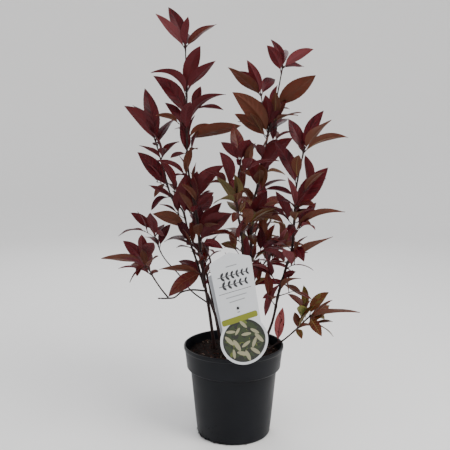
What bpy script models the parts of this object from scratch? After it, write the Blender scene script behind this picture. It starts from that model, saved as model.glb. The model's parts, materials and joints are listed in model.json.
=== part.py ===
"""A young sweetspire shrub in autumn leaf, in the black plastic pot it was grown in.

Several thin canes rise from the compost. Each carries loose groups of long leaves with
open air between them, and a white plastic tag stands against the front of the rim.

Units are metres and +Z is up. The origin is the centre of the pot's flat underside. The
front, with the tag, faces -Y, and +X is to the right of someone who looks at the front.
"""

import math
import random

import bpy
import bmesh
from mathutils import Matrix, Vector
from mathutils.bvhtree import BVHTree

MM = 0.001
GAP = 0.3 * MM

# Driving sizes of the pot
POT_HEIGHT = 0.156
POT_LIP_RADIUS = 0.085
POT_BAND_TOP_RADIUS = 0.0832
POT_BAND_FOOT_RADIUS = 0.0802
POT_BODY_TOP_RADIUS = 0.0738
POT_BODY_FOOT_RADIUS = 0.063
POT_BAND_DEPTH = 0.0365
POT_LEDGE_DEPTH = 0.0415
POT_LIP_DEPTH = 0.0065
POT_FOOT_ROUND = 0.004
POT_STEP_ROUND = 0.002
POT_WALL = 0.0016
POT_FLOOR = 0.0022
POT_INSIDE_FOOT = 0.020
POT_INSIDE_ROUND = 0.003
POT_SIDES = 40
DRAIN_HOLES = 8
DRAIN_HOLE_RADIUS = 0.0045
DRAIN_RING_RADIUS = 0.044

# Driving sizes of the compost
SOIL_LEVEL = 0.143
SOIL_EDGE_DROP = 0.004
SOIL_EDGE_WIDTH = 0.006
SOIL_FOOT_INSET = 0.005

# Driving sizes of the tag
TAG_THICKNESS = 0.0008
TAG_TOP_HALF_WIDTH = 0.034
TAG_WAIST_HALF_WIDTH = 0.0315
TAG_DISC_RADIUS = 0.039
TAG_SHOULDER_HEIGHT = 0.131
TAG_PEAK_HEIGHT = 0.1435
TAG_CORNER = 0.005
TAG_DISC_CENTRE_HEIGHT = 0.187
TAG_TILT = math.radians(9.5)
TAG_LEAN = math.radians(4)
TAG_TURN = math.radians(11)
TAG_PIN_HEIGHT = 0.0535
TAG_PIN_RADIUS = 0.0016
STAKE_HALF_WIDTH = 0.027
STAKE_POINT = 0.022
STAKE_BOTTOM = 0.1435
STAKE_TOP = 0.300
STAKE_TILT = math.radians(12)
STAKE_SHIFT = 0.0035
STAKE_STANDOFF = 0.012

# Driving sizes of the canes
CANE_SIDES = 7
CANE_STEP = 0.016
TRIM_STEP = 0.5 * MM
ROOT_FLARE = 1.55
ROOT_FLARE_HEIGHT = 0.012

# Driving sizes of the leaf masses. The shares are of a main leaf's reach, of one step round
# its ring, of the angle that the leaf fills seen from the middle, and of an oval's size.
LEAF_HALF_WIDTH = 0.013
LEAF_BASE_SHARE = 0.42
LEAF_RING_POINTS = 5
LEAF_RING_JITTER = 0.15
LEAF_OVERLAP_SHARE = 0.6
LEAF_CLEARANCE_SHARE = 1.15
FILLER_POINTS = 34
FILLER_NUDGE = 0.12
UNEVENNESS = 0.22
MEETING_GROWTH = 1.04

# Colours
POT_BLACK = (0.017, 0.020, 0.024)
SOIL_BROWN = (0.018, 0.011, 0.008)
TAG_WHITE = (0.62, 0.62, 0.64)
PIN_BLACK = (0.02, 0.02, 0.02)
BARK_BROWN = (0.035, 0.014, 0.011)
WINE_RED = (0.095, 0.012, 0.018)
RED_BROWN = (0.105, 0.030, 0.018)
OLIVE_BROWN = (0.110, 0.068, 0.022)

# Each cane: points that its middle line passes, in millimetres, then its radius in
# millimetres at its foot and at its tip.
CANES = {
    "tall_left_cane": (
        [(-33, 12, 143), (-42, 12, 211), (-49, 14, 255), (-56, 16, 308), (-61, 18, 360),
         (-71, 20, 418), (-78, 20, 468), (-78, 20, 561), (-80, 25, 655)], 2.9, 1.0),
    "tall_left_prop": (
        [(-9, -12, 143), (-30, -3, 203), (-46, 11, 243)], 3.0, 2.2),
    "left_side_cane": (
        [(-50, 14, 250), (-63, 22, 293), (-77, 33, 333), (-87, 44, 377), (-108, 58, 401),
         (-122, 68, 446), (-137, 76, 500)], 2.1, 1.0),
    "low_left_upper_bough": (
        [(-45, 12, 224), (-74, 34, 240), (-95, 60, 261), (-128, 88, 292), (-148, 100, 340)], 1.4, 0.9),
    "low_left_bough": (
        [(-48, 12, 245), (-71, -6, 251), (-87, -22, 251), (-98, -34, 245), (-110, -40, 245),
         (-121, -48, 247)], 1.6, 1.2),
    "low_left_shoot": (
        [(-108, -39, 246), (-119, -52, 265), (-130, -66, 288), (-141, -80, 315)], 1.4, 0.9),
    "tall_right_cane": (
        [(29, 20, 143), (32, 28, 225), (30, 35, 309), (34, 42, 390), (49, 48, 447),
         (59, 54, 510), (73, 60, 568), (84, 66, 625)], 2.7, 1.0),
    "right_upper_bough": (
        [(60, 55, 513), (53, 58, 543), (47, 60, 578)], 1.2, 0.9),
    "middle_cane": (
        [(10, -20, 143), (12, -30, 240), (14, -40, 325), (4, -46, 407), (10, -52, 470)], 2.4, 1.0),
    "right_cane": (
        [(46, -4, 143), (65, -12, 197), (75, -20, 251), (87, -27, 298), (95, -34, 332),
         (97, -42, 390), (98, -52, 428), (108, -66, 490)], 2.5, 1.0),
    "low_right_bough": (
        [(59, 0, 143), (71, 3, 152), (85, 3, 160), (101, -5, 177), (114, -12, 193),
         (128, -20, 210)], 1.6, 1.0),
    "back_left_cane": (
        [(-22, 30, 143), (-43, 50, 247), (-59, 84, 305), (-70, 112, 365)], 2.3, 1.1),
    "back_right_cane": (
        [(14, 40, 143), (22, 70, 230), (32, 100, 300), (54, 128, 362)], 2.3, 1.1),
    "back_side_bough": (
        [(23, 73, 238), (50, 90, 268), (76, 104, 300)], 1.4, 1.0),
}

# A bough that leaves a cane starts just clear of it.
PARENT_CANE = {
    "tall_left_prop": "tall_left_cane",
    "left_side_cane": "tall_left_cane",
    "low_left_upper_bough": "tall_left_cane",
    "low_left_bough": "tall_left_cane",
    "low_left_shoot": "low_left_bough",
    "right_upper_bough": "tall_right_cane",
    "back_side_bough": "back_right_cane",
}

# The mass that a cane or bough ends in.
END_MASS = {
    "tall_left_cane": "left_tip_leaves",
    "left_side_cane": "side_top_leaves",
    "low_left_upper_bough": "low_left_upper_leaves",
    "low_left_shoot": "low_left_leaves",
    "tall_right_cane": "right_tip_leaves",
    "right_upper_bough": "right_upper_leaves",
    "middle_cane": "middle_upper_leaves",
    "right_cane": "right_shoot_tip_leaves",
    "low_right_bough": "low_right_leaves",
    "back_left_cane": "back_left_leaves",
    "back_right_cane": "back_right_leaves",
    "back_side_bough": "back_side_leaves",
}

# Each leaf mass: its middle, its three half sizes, and how far its main leaves reach from
# the middle to their tips, all in millimetres, then its colour.
MASSES = {
    "left_tip_leaves": (
        (-81, 26, 662), (11, 12, 20),
        [(-28, 14, 58), (-46, -16, 42), (7, -26, 36), (52, 19, 31), (-4, 46, 22)], WINE_RED),
    "left_upper_leaves": (
        (-75, 24, 592), (13, 14, 22),
        [(-60, -24, 18), (-32, -12, 44), (21, -34, 59), (45, -44, 35), (6, 51, 5)], WINE_RED),
    "left_middle_leaves": (
        (-78, 20, 530), (12, 14, 22),
        [(-57, 15, 78), (65, -15, 46), (8, -48, 33), (-19, 60, 16)], WINE_RED),
    "left_node_leaves": (
        (-78, 20, 480), (10, 11, 13),
        [(89, -40, 45), (-31, 30, -10)], WINE_RED),
    "left_lower_leaves": (
        (-63, 20, 407), (13, 15, 19),
        [(47, -20, 53), (30, -40, 10), (-5, -34, -22), (-5, 50, 23)], WINE_RED),
    "side_top_leaves": (
        (-138, 78, 508), (13, 14, 22),
        [(-18, 12, 83), (-49, -28, 51), (-41, 22, 54), (35, 32, 30), (4, -34, -16)], WINE_RED),
    "side_lower_leaves": (
        (-101, 55, 407), (20, 18, 24),
        [(-70, 35, 72), (-44, -25, 18), (-41, 35, -9), (-40, -25, -25), (22, -55, 40),
         (3, 65, -8)], WINE_RED),
    "side_base_leaves": (
        (-92, 40, 350), (13, 13, 15),
        [(-45, -36, 29), (-30, 34, 9), (12, -24, -26)], WINE_RED),
    "front_left_leaves": (
        (-52, 0, 336), (17, 14, 20),
        [(-4, -30, 31), (-4, -18, -34), (50, -40, 50), (32, 4, 62), (34, -10, -14)], RED_BROWN),
    "hanging_leaves": (
        (-62, 12, 291), (12, 13, 12),
        [(-62, -32, -2), (-45, -57, -42), (-35, 38, -2), (20, 38, -4)], RED_BROWN),
    "low_left_upper_leaves": (
        (-149, 100, 340), (12, 12, 14),
        [(-39, 10, 28), (3, -40, 34), (21, 30, 4), (27, -34, -8), (-12, 40, 16)], WINE_RED),
    "low_left_leaves": (
        (-142, -80, 318), (13, 13, 15),
        [(-63, -20, 5), (-35, 20, 26), (1, -30, 44), (20, -40, 33), (6, 30, 12), (17, 30, -23),
         (-8, -24, -22)], RED_BROWN),
    "middle_upper_leaves": (
        (12, -52, 478), (13, 13, 22),
        [(-14, 22, 48), (-33, -38, 22), (11, -46, 26), (14, 24, -34)], WINE_RED),
    "middle_lower_leaves": (
        (4, -47, 400), (15, 14, 19),
        [(-32, -22, 46), (3, -42, 24), (-16, 38, 45), (27, 26, 4), (-7, -34, -24)], OLIVE_BROWN),
    "right_tip_leaves": (
        (84, 66, 634), (14, 14, 20),
        [(-20, 9, 38), (-29, -26, 24), (8, 54, 26), (51, -16, 19), (40, 28, -6)], WINE_RED),
    "right_upper_leaves": (
        (46, 60, 589), (13, 14, 17),
        [(-56, -30, 32), (-41, 30, 31), (-24, -12, 46), (28, 42, 18)], WINE_RED),
    "right_middle_leaves": (
        (58, 56, 530), (20, 17, 25),
        [(-61, -36, 50), (-57, -16, 15), (53, -26, 71), (76, -46, 77), (41, 54, 8),
         (-25, 40, 40)], RED_BROWN),
    "right_inner_leaves": (
        (42, 40, 428), (17, 16, 22),
        [(55, -38, 77), (-32, -44, -3), (0, -46, 26), (12, 62, -7)], RED_BROWN),
    "core_leaves": (
        (50, 32, 362), (20, 18, 22),
        [(5, -42, 57), (43, -30, 21), (39, 40, -7), (-27, -52, 22), (-13, -34, -38),
         (-42, -38, -20)], OLIVE_BROWN),
    "right_shoot_tip_leaves": (
        (109, -67, 496), (11, 11, 17),
        [(-24, 26, 40), (29, 6, 52), (33, -44, 37), (64, -14, 11), (4, 42, 12)], RED_BROWN),
    "right_shoot_upper_leaves": (
        (99, -56, 448), (13, 12, 16),
        [(-34, 36, 52), (-3, -42, 33)], OLIVE_BROWN),
    "right_shoot_lower_leaves": (
        (98, -45, 372), (15, 14, 19),
        [(55, 25, 86), (24, -53, 26), (77, -15, 18), (28, 18, -8), (0, -55, 22),
         (-11, -35, -19)], RED_BROWN),
    "right_side_leaves": (
        (84, -30, 322), (15, 14, 14),
        [(74, -20, 27), (26, -40, -10), (36, 30, 2), (-38, -20, 6)], WINE_RED),
    "right_low_leaves": (
        (72, -14, 270), (12, 12, 15),
        [(30, -18, 18), (36, -38, 11), (-22, 32, -40), (44, 24, -33), (-20, -8, -60)], WINE_RED),
    "low_right_leaves": (
        (131, -21, 212), (13, 12, 13),
        [(29, 11, 36), (74, -29, 12), (-22, -30, 24), (11, -40, -25), (27, 40, -20),
         (-46, 34, 4)], OLIVE_BROWN),
    "back_left_leaves": (
        (-71, 114, 372), (18, 18, 22),
        [(-38, 40, 30), (34, 44, 22), (2, 50, -30), (-12, 26, 56)], WINE_RED),
    "back_right_leaves": (
        (56, 130, 368), (18, 18, 22),
        [(-40, 40, 24), (36, 46, 22), (-6, 30, 58), (10, 52, -26)], RED_BROWN),
    "back_side_leaves": (
        (80, 106, 305), (15, 15, 17),
        [(44, 34, 26), (50, -12, 6), (8, 54, 12), (16, 24, -34)], WINE_RED),
}


def clear_scene():
    for item in list(bpy.data.objects):
        bpy.data.objects.remove(item, do_unlink=True)


def material(name, colour, roughness, metallic=0.0):
    finish = bpy.data.materials.new(name)
    finish.use_nodes = True
    shader = finish.node_tree.nodes["Principled BSDF"]
    shader.inputs["Base Color"].default_value = (*colour, 1.0)
    shader.inputs["Roughness"].default_value = roughness
    shader.inputs["Metallic"].default_value = metallic
    return finish


def add_object(name, mesh, finish, smooth_angle=None):
    mesh.materials.append(finish)
    if smooth_angle is not None:
        mesh.shade_smooth()
        mesh.set_sharp_from_angle(angle=math.radians(smooth_angle))
    item = bpy.data.objects.new(name, mesh)
    bpy.context.scene.collection.objects.link(item)
    return item


def mesh_from(name, corners, faces):
    mesh = bpy.data.meshes.new(name)
    mesh.from_pydata(corners, [], faces)
    mesh.update()
    return mesh


def arc(centre, radius, start, end, steps):
    """Points along an arc in the (distance from axis, height) plane, angles in degrees."""
    points = []
    for step in range(steps + 1):
        angle = math.radians(start + (end - start) * step / steps)
        points.append((centre[0] + radius * math.cos(angle), centre[1] + radius * math.sin(angle)))
    return points


def turned(name, profile, sides):
    """A closed solid of revolution: the profile starts and ends on the axis."""
    corners = [(0.0, 0.0, profile[0][1])]
    for radius, height in profile[1:-1]:
        for side in range(sides):
            angle = 2 * math.pi * side / sides
            corners.append((radius * math.cos(angle), radius * math.sin(angle), height))
    corners.append((0.0, 0.0, profile[-1][1]))
    last = len(corners) - 1
    rings = len(profile) - 2
    faces = []
    for side in range(sides):
        after = (side + 1) % sides
        faces.append((0, 1 + after, 1 + side))
        for ring in range(rings - 1):
            low = 1 + ring * sides
            high = low + sides
            faces.append((low + side, low + after, high + after, high + side))
        top = 1 + (rings - 1) * sides
        faces.append((top + side, top + after, last))
    return mesh_from(name, corners, faces)


def hide_cutter(cutter):
    cutter.hide_render = True
    cutter.display_type = "WIRE"


def cut_away(item, cutter):
    cut = item.modifiers.new("cut_" + cutter.name, "BOOLEAN")
    cut.operation = "DIFFERENCE"
    cut.solver = "EXACT"
    cut.object = cutter


def pot_inner_radius(height):
    """Inside radius of the pot's wall at a height above its underside."""
    band_foot = POT_HEIGHT - POT_BAND_DEPTH
    ledge_foot = POT_HEIGHT - POT_LEDGE_DEPTH
    if height >= band_foot:
        share = (height - band_foot) / POT_BAND_DEPTH
        outside = POT_BAND_FOOT_RADIUS + share * (POT_BAND_TOP_RADIUS - POT_BAND_FOOT_RADIUS)
    elif height >= ledge_foot:
        share = (height - ledge_foot) / (band_foot - ledge_foot)
        outside = POT_BODY_TOP_RADIUS + share * (POT_BAND_FOOT_RADIUS - POT_BODY_TOP_RADIUS)
    else:
        share = height / ledge_foot
        outside = POT_BODY_FOOT_RADIUS + share * (POT_BODY_TOP_RADIUS - POT_BODY_FOOT_RADIUS)
    return outside - POT_WALL


def pot_profile():
    """From the middle of the underside, up the outside, over the lip and down the inside."""
    foot_round = arc((POT_BODY_FOOT_RADIUS - POT_FOOT_ROUND, POT_FOOT_ROUND), POT_FOOT_ROUND, -90, 0, 3)
    ledge_foot = POT_HEIGHT - POT_LEDGE_DEPTH
    band_foot = POT_HEIGHT - POT_BAND_DEPTH
    lip_foot = POT_HEIGHT - POT_LIP_DEPTH
    lip_round = (POT_LIP_RADIUS - pot_inner_radius(POT_HEIGHT)) / 2
    lip_middle = (POT_LIP_RADIUS - lip_round, POT_HEIGHT - lip_round)
    outside = [
        (POT_BODY_TOP_RADIUS, ledge_foot),
        (POT_BAND_FOOT_RADIUS - POT_STEP_ROUND / 2, band_foot - POT_STEP_ROUND),
        (POT_BAND_FOOT_RADIUS, band_foot),
        (POT_BAND_TOP_RADIUS, lip_foot - POT_STEP_ROUND / 2),
        (POT_LIP_RADIUS, lip_foot),
    ]
    inside = [(pot_inner_radius(height), height) for height in (band_foot, ledge_foot, POT_INSIDE_FOOT)]
    floor_radius = pot_inner_radius(POT_FLOOR)
    floor_edge = [(floor_radius - POT_INSIDE_ROUND / 3, POT_FLOOR + POT_INSIDE_ROUND * 2 / 3),
                  (floor_radius - POT_INSIDE_ROUND, POT_FLOOR)]
    return ([(0.0, 0.0)] + foot_round + outside + arc(lip_middle, lip_round, 0, 180, 4)
            + inside + floor_edge + [(0.0, POT_FLOOR)])


def build_pot():
    finish = material("pot_plastic", POT_BLACK, 0.45)
    pot = add_object("pot", turned("pot", pot_profile(), POT_SIDES), finish, 35)
    for number in range(DRAIN_HOLES):
        angle = 2 * math.pi * (number + 0.5) / DRAIN_HOLES
        bpy.ops.mesh.primitive_cylinder_add(
            vertices=12, radius=DRAIN_HOLE_RADIUS, depth=4 * POT_FLOOR,
            location=(DRAIN_RING_RADIUS * math.cos(angle), DRAIN_RING_RADIUS * math.sin(angle), 0.0))
        cutter = bpy.context.object
        cutter.name = "drain_cutter_%d" % number
        hide_cutter(cutter)
        cut_away(pot, cutter)
    return pot


def build_soil():
    """The compost: it fills the pot and is a little lower at its edge than in its middle."""
    foot = POT_FLOOR + GAP
    heights = (POT_INSIDE_FOOT, POT_HEIGHT - POT_LEDGE_DEPTH, POT_HEIGHT - POT_BAND_DEPTH,
               SOIL_LEVEL - SOIL_EDGE_DROP)
    side = [(pot_inner_radius(height) - 2 * GAP, height) for height in heights]
    edge = side[-1][0]
    profile = [(0.0, foot), (pot_inner_radius(foot) - SOIL_FOOT_INSET, foot)] + side
    profile += [(edge - SOIL_EDGE_WIDTH, SOIL_LEVEL - GAP), (0.0, SOIL_LEVEL - GAP)]
    return add_object("soil", turned("soil", profile, POT_SIDES), material("compost", SOIL_BROWN, 0.95), 35)


def rounded(corners, radii, steps=3):
    """A flat outline with each corner rounded; a corner radius of 0 stays sharp."""
    outline = []
    count = len(corners)
    for index, corner in enumerate(corners):
        here = Vector(corner)
        radius = radii[index]
        if radius == 0:
            outline.append(tuple(here))
            continue
        before = (Vector(corners[index - 1]) - here).normalized()
        after = (Vector(corners[(index + 1) % count]) - here).normalized()
        half = before.angle(after) / 2
        start = here + before * (radius / math.tan(half))
        end = here + after * (radius / math.tan(half))
        middle = here + (before + after).normalized() * (radius / math.sin(half))
        for step in range(steps + 1):
            point = start.lerp(end, step / steps) - middle
            outline.append(tuple(middle + point.normalized() * radius))
    return outline


def tag_outline():
    """The tag seen from the front, anticlockwise from its waist on the right.

    Its origin is the middle of the round end, and its long side points up."""
    waist = math.sqrt(TAG_DISC_RADIUS ** 2 - TAG_WAIST_HALF_WIDTH ** 2)
    waist_angle = math.degrees(math.atan2(waist, TAG_WAIST_HALF_WIDTH))
    top = [(TAG_TOP_HALF_WIDTH, TAG_SHOULDER_HEIGHT), (0.0, TAG_PEAK_HEIGHT),
           (-TAG_TOP_HALF_WIDTH, TAG_SHOULDER_HEIGHT)]
    corners = [(TAG_WAIST_HALF_WIDTH, waist)] + top + [(-TAG_WAIST_HALF_WIDTH, waist)]
    panel = rounded(corners, [0, TAG_CORNER, TAG_CORNER, TAG_CORNER, 0])
    disc = arc((0.0, 0.0), TAG_DISC_RADIUS, 180 - waist_angle, 360 + waist_angle, 22)
    return panel + disc[1:-1]


def plate(name, outline, thickness):
    """A flat plate: the outline lies in the XZ plane and its front faces -Y."""
    count = len(outline)
    corners = [(x, 0.0, z) for x, z in outline] + [(x, thickness, z) for x, z in outline]
    faces = [tuple(range(count)), tuple(range(2 * count - 1, count - 1, -1))]
    for index in range(count):
        after = (index + 1) % count
        faces.append((after, index, count + index, count + after))
    return mesh_from(name, corners, faces)


def tag_place(standoff, tilt, shift, height):
    """Where a point of the tag's own frame goes: it rests on the front of the lip."""
    touch = Vector((math.sin(TAG_TURN) * POT_LIP_RADIUS, -math.cos(TAG_TURN) * POT_LIP_RADIUS, POT_HEIGHT))
    turn = Matrix.Rotation(TAG_TURN, 4, "Z") @ Matrix.Rotation(-TAG_LEAN, 4, "X")
    stand = Matrix.Translation(touch) @ turn
    offset = Vector((shift, standoff - TAG_THICKNESS - GAP, height - POT_HEIGHT))
    return stand @ Matrix.Translation(offset) @ Matrix.Rotation(-tilt, 4, "Y")


def build_tag():
    white = material("tag_plastic", TAG_WHITE, 0.4)
    front = add_object("tag_front", plate("tag_front", tag_outline(), TAG_THICKNESS), white)
    front.matrix_world = tag_place(0.0, TAG_TILT, 0.0, TAG_DISC_CENTRE_HEIGHT)

    long_side = STAKE_TOP - STAKE_BOTTOM
    corners = [(0.0, 0.0), (STAKE_HALF_WIDTH, STAKE_POINT), (STAKE_HALF_WIDTH, long_side),
               (-STAKE_HALF_WIDTH, long_side), (-STAKE_HALF_WIDTH, STAKE_POINT)]
    outline = rounded(corners, [0, TAG_CORNER, TAG_CORNER, TAG_CORNER, TAG_CORNER])
    stake = add_object("tag_stake", plate("tag_stake", outline, TAG_THICKNESS), white)
    stake.matrix_world = tag_place(STAKE_STANDOFF, STAKE_TILT, STAKE_SHIFT, STAKE_BOTTOM)

    pin_length = STAKE_STANDOFF - TAG_THICKNESS - 2 * GAP
    bpy.ops.mesh.primitive_cylinder_add(vertices=12, radius=TAG_PIN_RADIUS, depth=pin_length)
    pin = bpy.context.object
    pin.name = "tag_pin"
    pin.data.materials.append(material("pin_plastic", PIN_BLACK, 0.4))
    middle = Matrix.Translation((0.0, TAG_THICKNESS + GAP + pin_length / 2, TAG_PIN_HEIGHT))
    across = Matrix.Rotation(math.radians(90), 4, "X")
    pin.matrix_world = front.matrix_world @ middle @ across


def smooth_path(points, step):
    """Points about a step apart on a smooth curve through the given points."""
    given = [Vector(point) * MM for point in points]
    ends = [2 * given[0] - given[1]] + given + [2 * given[-1] - given[-2]]
    path = [given[0]]
    for index in range(1, len(ends) - 2):
        a, b, c, d = ends[index - 1:index + 3]
        parts = max(1, round((c - b).length / step))
        for part in range(1, parts + 1):
            t = part / parts
            path.append(0.5 * (2 * b + (c - a) * t + (2 * a - 5 * b + 4 * c - d) * t ** 2
                               + (3 * b - a - 3 * c + d) * t ** 3))
    return path


def stands_in_soil(name):
    return abs(CANES[name][0][0][2] * MM - SOIL_LEVEL) < GAP


def cane_shape(name):
    """Middle line and radius of a cane: it tapers evenly and flares where it stands in soil."""
    points, foot, tip = CANES[name]
    path = smooth_path(points, CANE_STEP)
    if stands_in_soil(name):
        path.insert(1, path[0].lerp(path[1], ROOT_FLARE_HEIGHT / CANE_STEP))
    walked = [0.0]
    for before, after in zip(path, path[1:]):
        walked.append(walked[-1] + (after - before).length)
    radii = [MM * (foot + (tip - foot) * length / walked[-1]) for length in walked]
    if stands_in_soil(name):
        radii[0] *= ROOT_FLARE
    return path, radii


def tube(name, path, radii, level_foot, extra=0.0):
    """A tapering solid round a path; a level foot is cut off flat where the soil begins."""
    count = len(path)
    corners = []
    side = Vector((1.0, 0.0, 0.0))
    for index, point in enumerate(path):
        before = path[max(0, index - 1)]
        after = path[min(count - 1, index + 1)]
        along = (after - before).normalized()
        side = (side - along * side.dot(along)).normalized()
        other = along.cross(side)
        for number in range(CANE_SIDES):
            angle = 2 * math.pi * number / CANE_SIDES
            arm = math.cos(angle) * side + math.sin(angle) * other
            corner = point + (radii[index] + extra) * arm
            if index == 0 and level_foot:
                corner = corner + along * ((SOIL_LEVEL - corner.z) / along.z)
            corners.append(corner)
    faces = [tuple(range(CANE_SIDES - 1, -1, -1))]
    for ring in range(count - 1):
        for number in range(CANE_SIDES):
            low = ring * CANE_SIDES
            after = (number + 1) % CANE_SIDES
            faces.append((low + number, low + after, low + CANE_SIDES + after, low + CANE_SIDES + number))
    last = (count - 1) * CANE_SIDES
    faces.append(tuple(range(last, last + CANE_SIDES)))
    return mesh_from(name, corners, faces)


def distance_to_path(point, path, radii):
    """Distance from a point to the surface of a cane, less than 0 inside it."""
    best = 1.0
    for index in range(len(path) - 1):
        start, end = path[index], path[index + 1]
        along = end - start
        share = max(0.0, min(1.0, (point - start).dot(along) / along.length_squared))
        radius = radii[index] + share * (radii[index + 1] - radii[index])
        best = min(best, (point - start - share * along).length - radius)
    return best


def trimmed(path, radii, is_clear):
    """The longest stretch of a cane on which is_clear(point, radius) holds."""
    samples = []
    for index in range(len(path) - 1):
        parts = max(1, math.ceil((path[index + 1] - path[index]).length / TRIM_STEP))
        for part in range(parts):
            share = part / parts
            samples.append((path[index].lerp(path[index + 1], share),
                            radii[index] + share * (radii[index + 1] - radii[index]), share == 0.0))
    samples.append((path[-1], radii[-1], True))
    runs = [[]]
    for sample in samples:
        if is_clear(sample[0], sample[1]):
            runs[-1].append(sample)
        elif runs[-1]:
            runs.append([])
    best = max(runs, key=len)
    kept = [sample for number, sample in enumerate(best) if sample[2] or number in (0, len(best) - 1)]
    return [sample[0] for sample in kept], [sample[1] for sample in kept]


def fan_directions(count, picker):
    """Directions spread evenly over a sphere, each moved a little."""
    turn = math.pi * (3 - math.sqrt(5))
    directions = []
    for index in range(count):
        height = 1 - 2 * (index + 0.5) / count
        reach = math.sqrt(1 - height * height)
        point = Vector((reach * math.cos(index * turn), reach * math.sin(index * turn), height))
        nudge = Vector((picker.uniform(-1, 1), picker.uniform(-1, 1), picker.uniform(-1, 1)))
        directions.append((point + FILLER_NUDGE * nudge).normalized())
    return directions


def oval_radius(direction, half_sizes):
    squares = [(direction[axis] / half_sizes[axis]) ** 2 for axis in range(3)]
    return 1 / math.sqrt(sum(squares))


def mass_spokes(name, picker):
    """Direction and length of every corner of a leaf mass, from its middle.

    Each main leaf is a pointed lobe: its tip, and a ring of corners as wide as a leaf
    round its base. The rest is an uneven oval."""
    _, half_sizes, reaches, _ = MASSES[name]
    half = [size * MM for size in half_sizes]
    spokes = []
    lobes = []
    for reach in reaches:
        arm = Vector(reach) * MM
        direction = arm.normalized()
        base = max(oval_radius(direction, half), LEAF_BASE_SHARE * arm.length)
        width = math.atan2(LEAF_HALF_WIDTH, base)
        lobes.append((direction, width))
        spokes.append((direction, arm.length))
        side = direction.orthogonal().normalized()
        other = direction.cross(side)
        for number in range(LEAF_RING_POINTS):
            jitter = picker.uniform(-LEAF_RING_JITTER, LEAF_RING_JITTER)
            angle = 2 * math.pi * (number + jitter) / LEAF_RING_POINTS
            lean = math.cos(angle) * side + math.sin(angle) * other
            spoke = (math.cos(width) * direction + math.sin(width) * lean).normalized()
            spokes.append((spoke, base / math.cos(width)))
    spokes = [spoke for index, spoke in enumerate(spokes) if not in_other_lobe(spoke[0], index, lobes)]
    for direction in fan_directions(FILLER_POINTS, picker):
        if all(direction.angle(lobe) > LEAF_CLEARANCE_SHARE * width for lobe, width in lobes):
            uneven = 1 + picker.uniform(-UNEVENNESS, UNEVENNESS)
            spokes.append((direction, oval_radius(direction, half) * uneven))
    return spokes


def in_other_lobe(direction, index, lobes):
    """Whether a ring corner falls inside the lobe of another main leaf."""
    own = index // (LEAF_RING_POINTS + 1)
    if index % (LEAF_RING_POINTS + 1) == 0:
        return False
    return any(direction.angle(lobe) < LEAF_OVERLAP_SHARE * width
               for number, (lobe, width) in enumerate(lobes) if number != own)


def mean_size(name):
    return sum(MASSES[name][1]) / 3


def wall_between(name, other):
    """Plane that keeps a mass on its own side of a neighbour: a normal and a distance."""
    towards = (Vector(MASSES[other][0]) - Vector(MASSES[name][0])) * MM
    share = mean_size(name) / (mean_size(name) + mean_size(other))
    return towards.normalized(), share * towards.length - GAP


def mass_corners_and_faces(name, spokes, growth=1.0):
    """The solid whose corners lie along the spokes: their directions' hull, stretched."""
    middle = Vector(MASSES[name][0]) * MM
    shape = bmesh.new()
    corners = [shape.verts.new(direction) for direction, _ in spokes]
    bmesh.ops.convex_hull(shape, input=corners)
    for corner, (direction, length) in zip(corners, spokes):
        corner.co = middle + direction * length * growth
    bmesh.ops.triangulate(shape, faces=shape.faces)
    bmesh.ops.recalc_face_normals(shape, faces=shape.faces)
    shape.verts.index_update()
    points = [corner.co.copy() for corner in shape.verts]
    faces = [tuple(corner.index for corner in face.verts) for face in shape.faces]
    shape.free()
    return points, faces


def all_mass_spokes():
    """Spokes of every mass, each mass kept behind a wall where it would meet a neighbour."""
    spokes = {}
    trees = {}
    for seed, name in enumerate(MASSES):
        spokes[name] = mass_spokes(name, random.Random(seed))
        trees[name] = BVHTree.FromPolygons(*mass_corners_and_faces(name, spokes[name], MEETING_GROWTH))
    for name in MASSES:
        walls = [wall_between(name, other) for other in MASSES
                 if other != name and trees[name].overlap(trees[other])]
        for index, (direction, length) in enumerate(spokes[name]):
            for normal, distance in walls:
                towards = direction.dot(normal)
                if towards > 0:
                    length = min(length, distance / towards)
            spokes[name][index] = (direction, length)
    return spokes


def mass_reach(name):
    return MM * max([Vector(reach).length for reach in MASSES[name][2]] + list(MASSES[name][1]))


def near_mass(name, path):
    """Whether a cane's path comes close enough to a mass to be cut out of it."""
    middle = Vector(MASSES[name][0]) * MM
    return any((point - middle).length < mass_reach(name) for point in path)


def build_plant():
    bark = material("bark", BARK_BROWN, 0.7)
    finishes = {}
    masses = {}
    trees = {}
    for name, spokes in all_mass_spokes().items():
        colour = MASSES[name][3]
        if colour not in finishes:
            finishes[colour] = material("leaves_%d" % len(finishes), colour, 0.6)
        corners, faces = mass_corners_and_faces(name, spokes)
        masses[name] = add_object(name, mesh_from(name, corners, faces), finishes[colour])
        trees[name] = BVHTree.FromPolygons(corners, faces)

    shapes = {name: cane_shape(name) for name in CANES}
    for name, (path, radii) in shapes.items():
        parent = PARENT_CANE.get(name)
        top_mass = END_MASS.get(name)

        def is_clear(point, radius):
            if parent and distance_to_path(point, *shapes[parent]) < radius + GAP:
                return False
            if not top_mass:
                return True
            spot, normal, _, distance = trees[top_mass].find_nearest(point)
            outside = (point - spot).dot(normal) > 0
            return outside and distance > radius + GAP

        path, radii = trimmed(path, radii, is_clear)
        level_foot = stands_in_soil(name)
        add_object(name, tube(name, path, radii, level_foot), bark, 60)
        cutter = add_object("cutter_" + name, tube("cutter_" + name, path, radii, level_foot, GAP), bark)
        hide_cutter(cutter)
        for mass_name, mass in masses.items():
            if mass_name != top_mass and near_mass(mass_name, path):
                cut_away(mass, cutter)


def build():
    clear_scene()
    build_pot()
    build_soil()
    build_tag()
    build_plant()


build()
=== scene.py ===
"""Looks of a young sweetspire shrub in autumn leaf, in its black nursery pot with a plain tag."""

import json
import math
import random

import bpy
from mathutils import Matrix, Vector, noise


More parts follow.
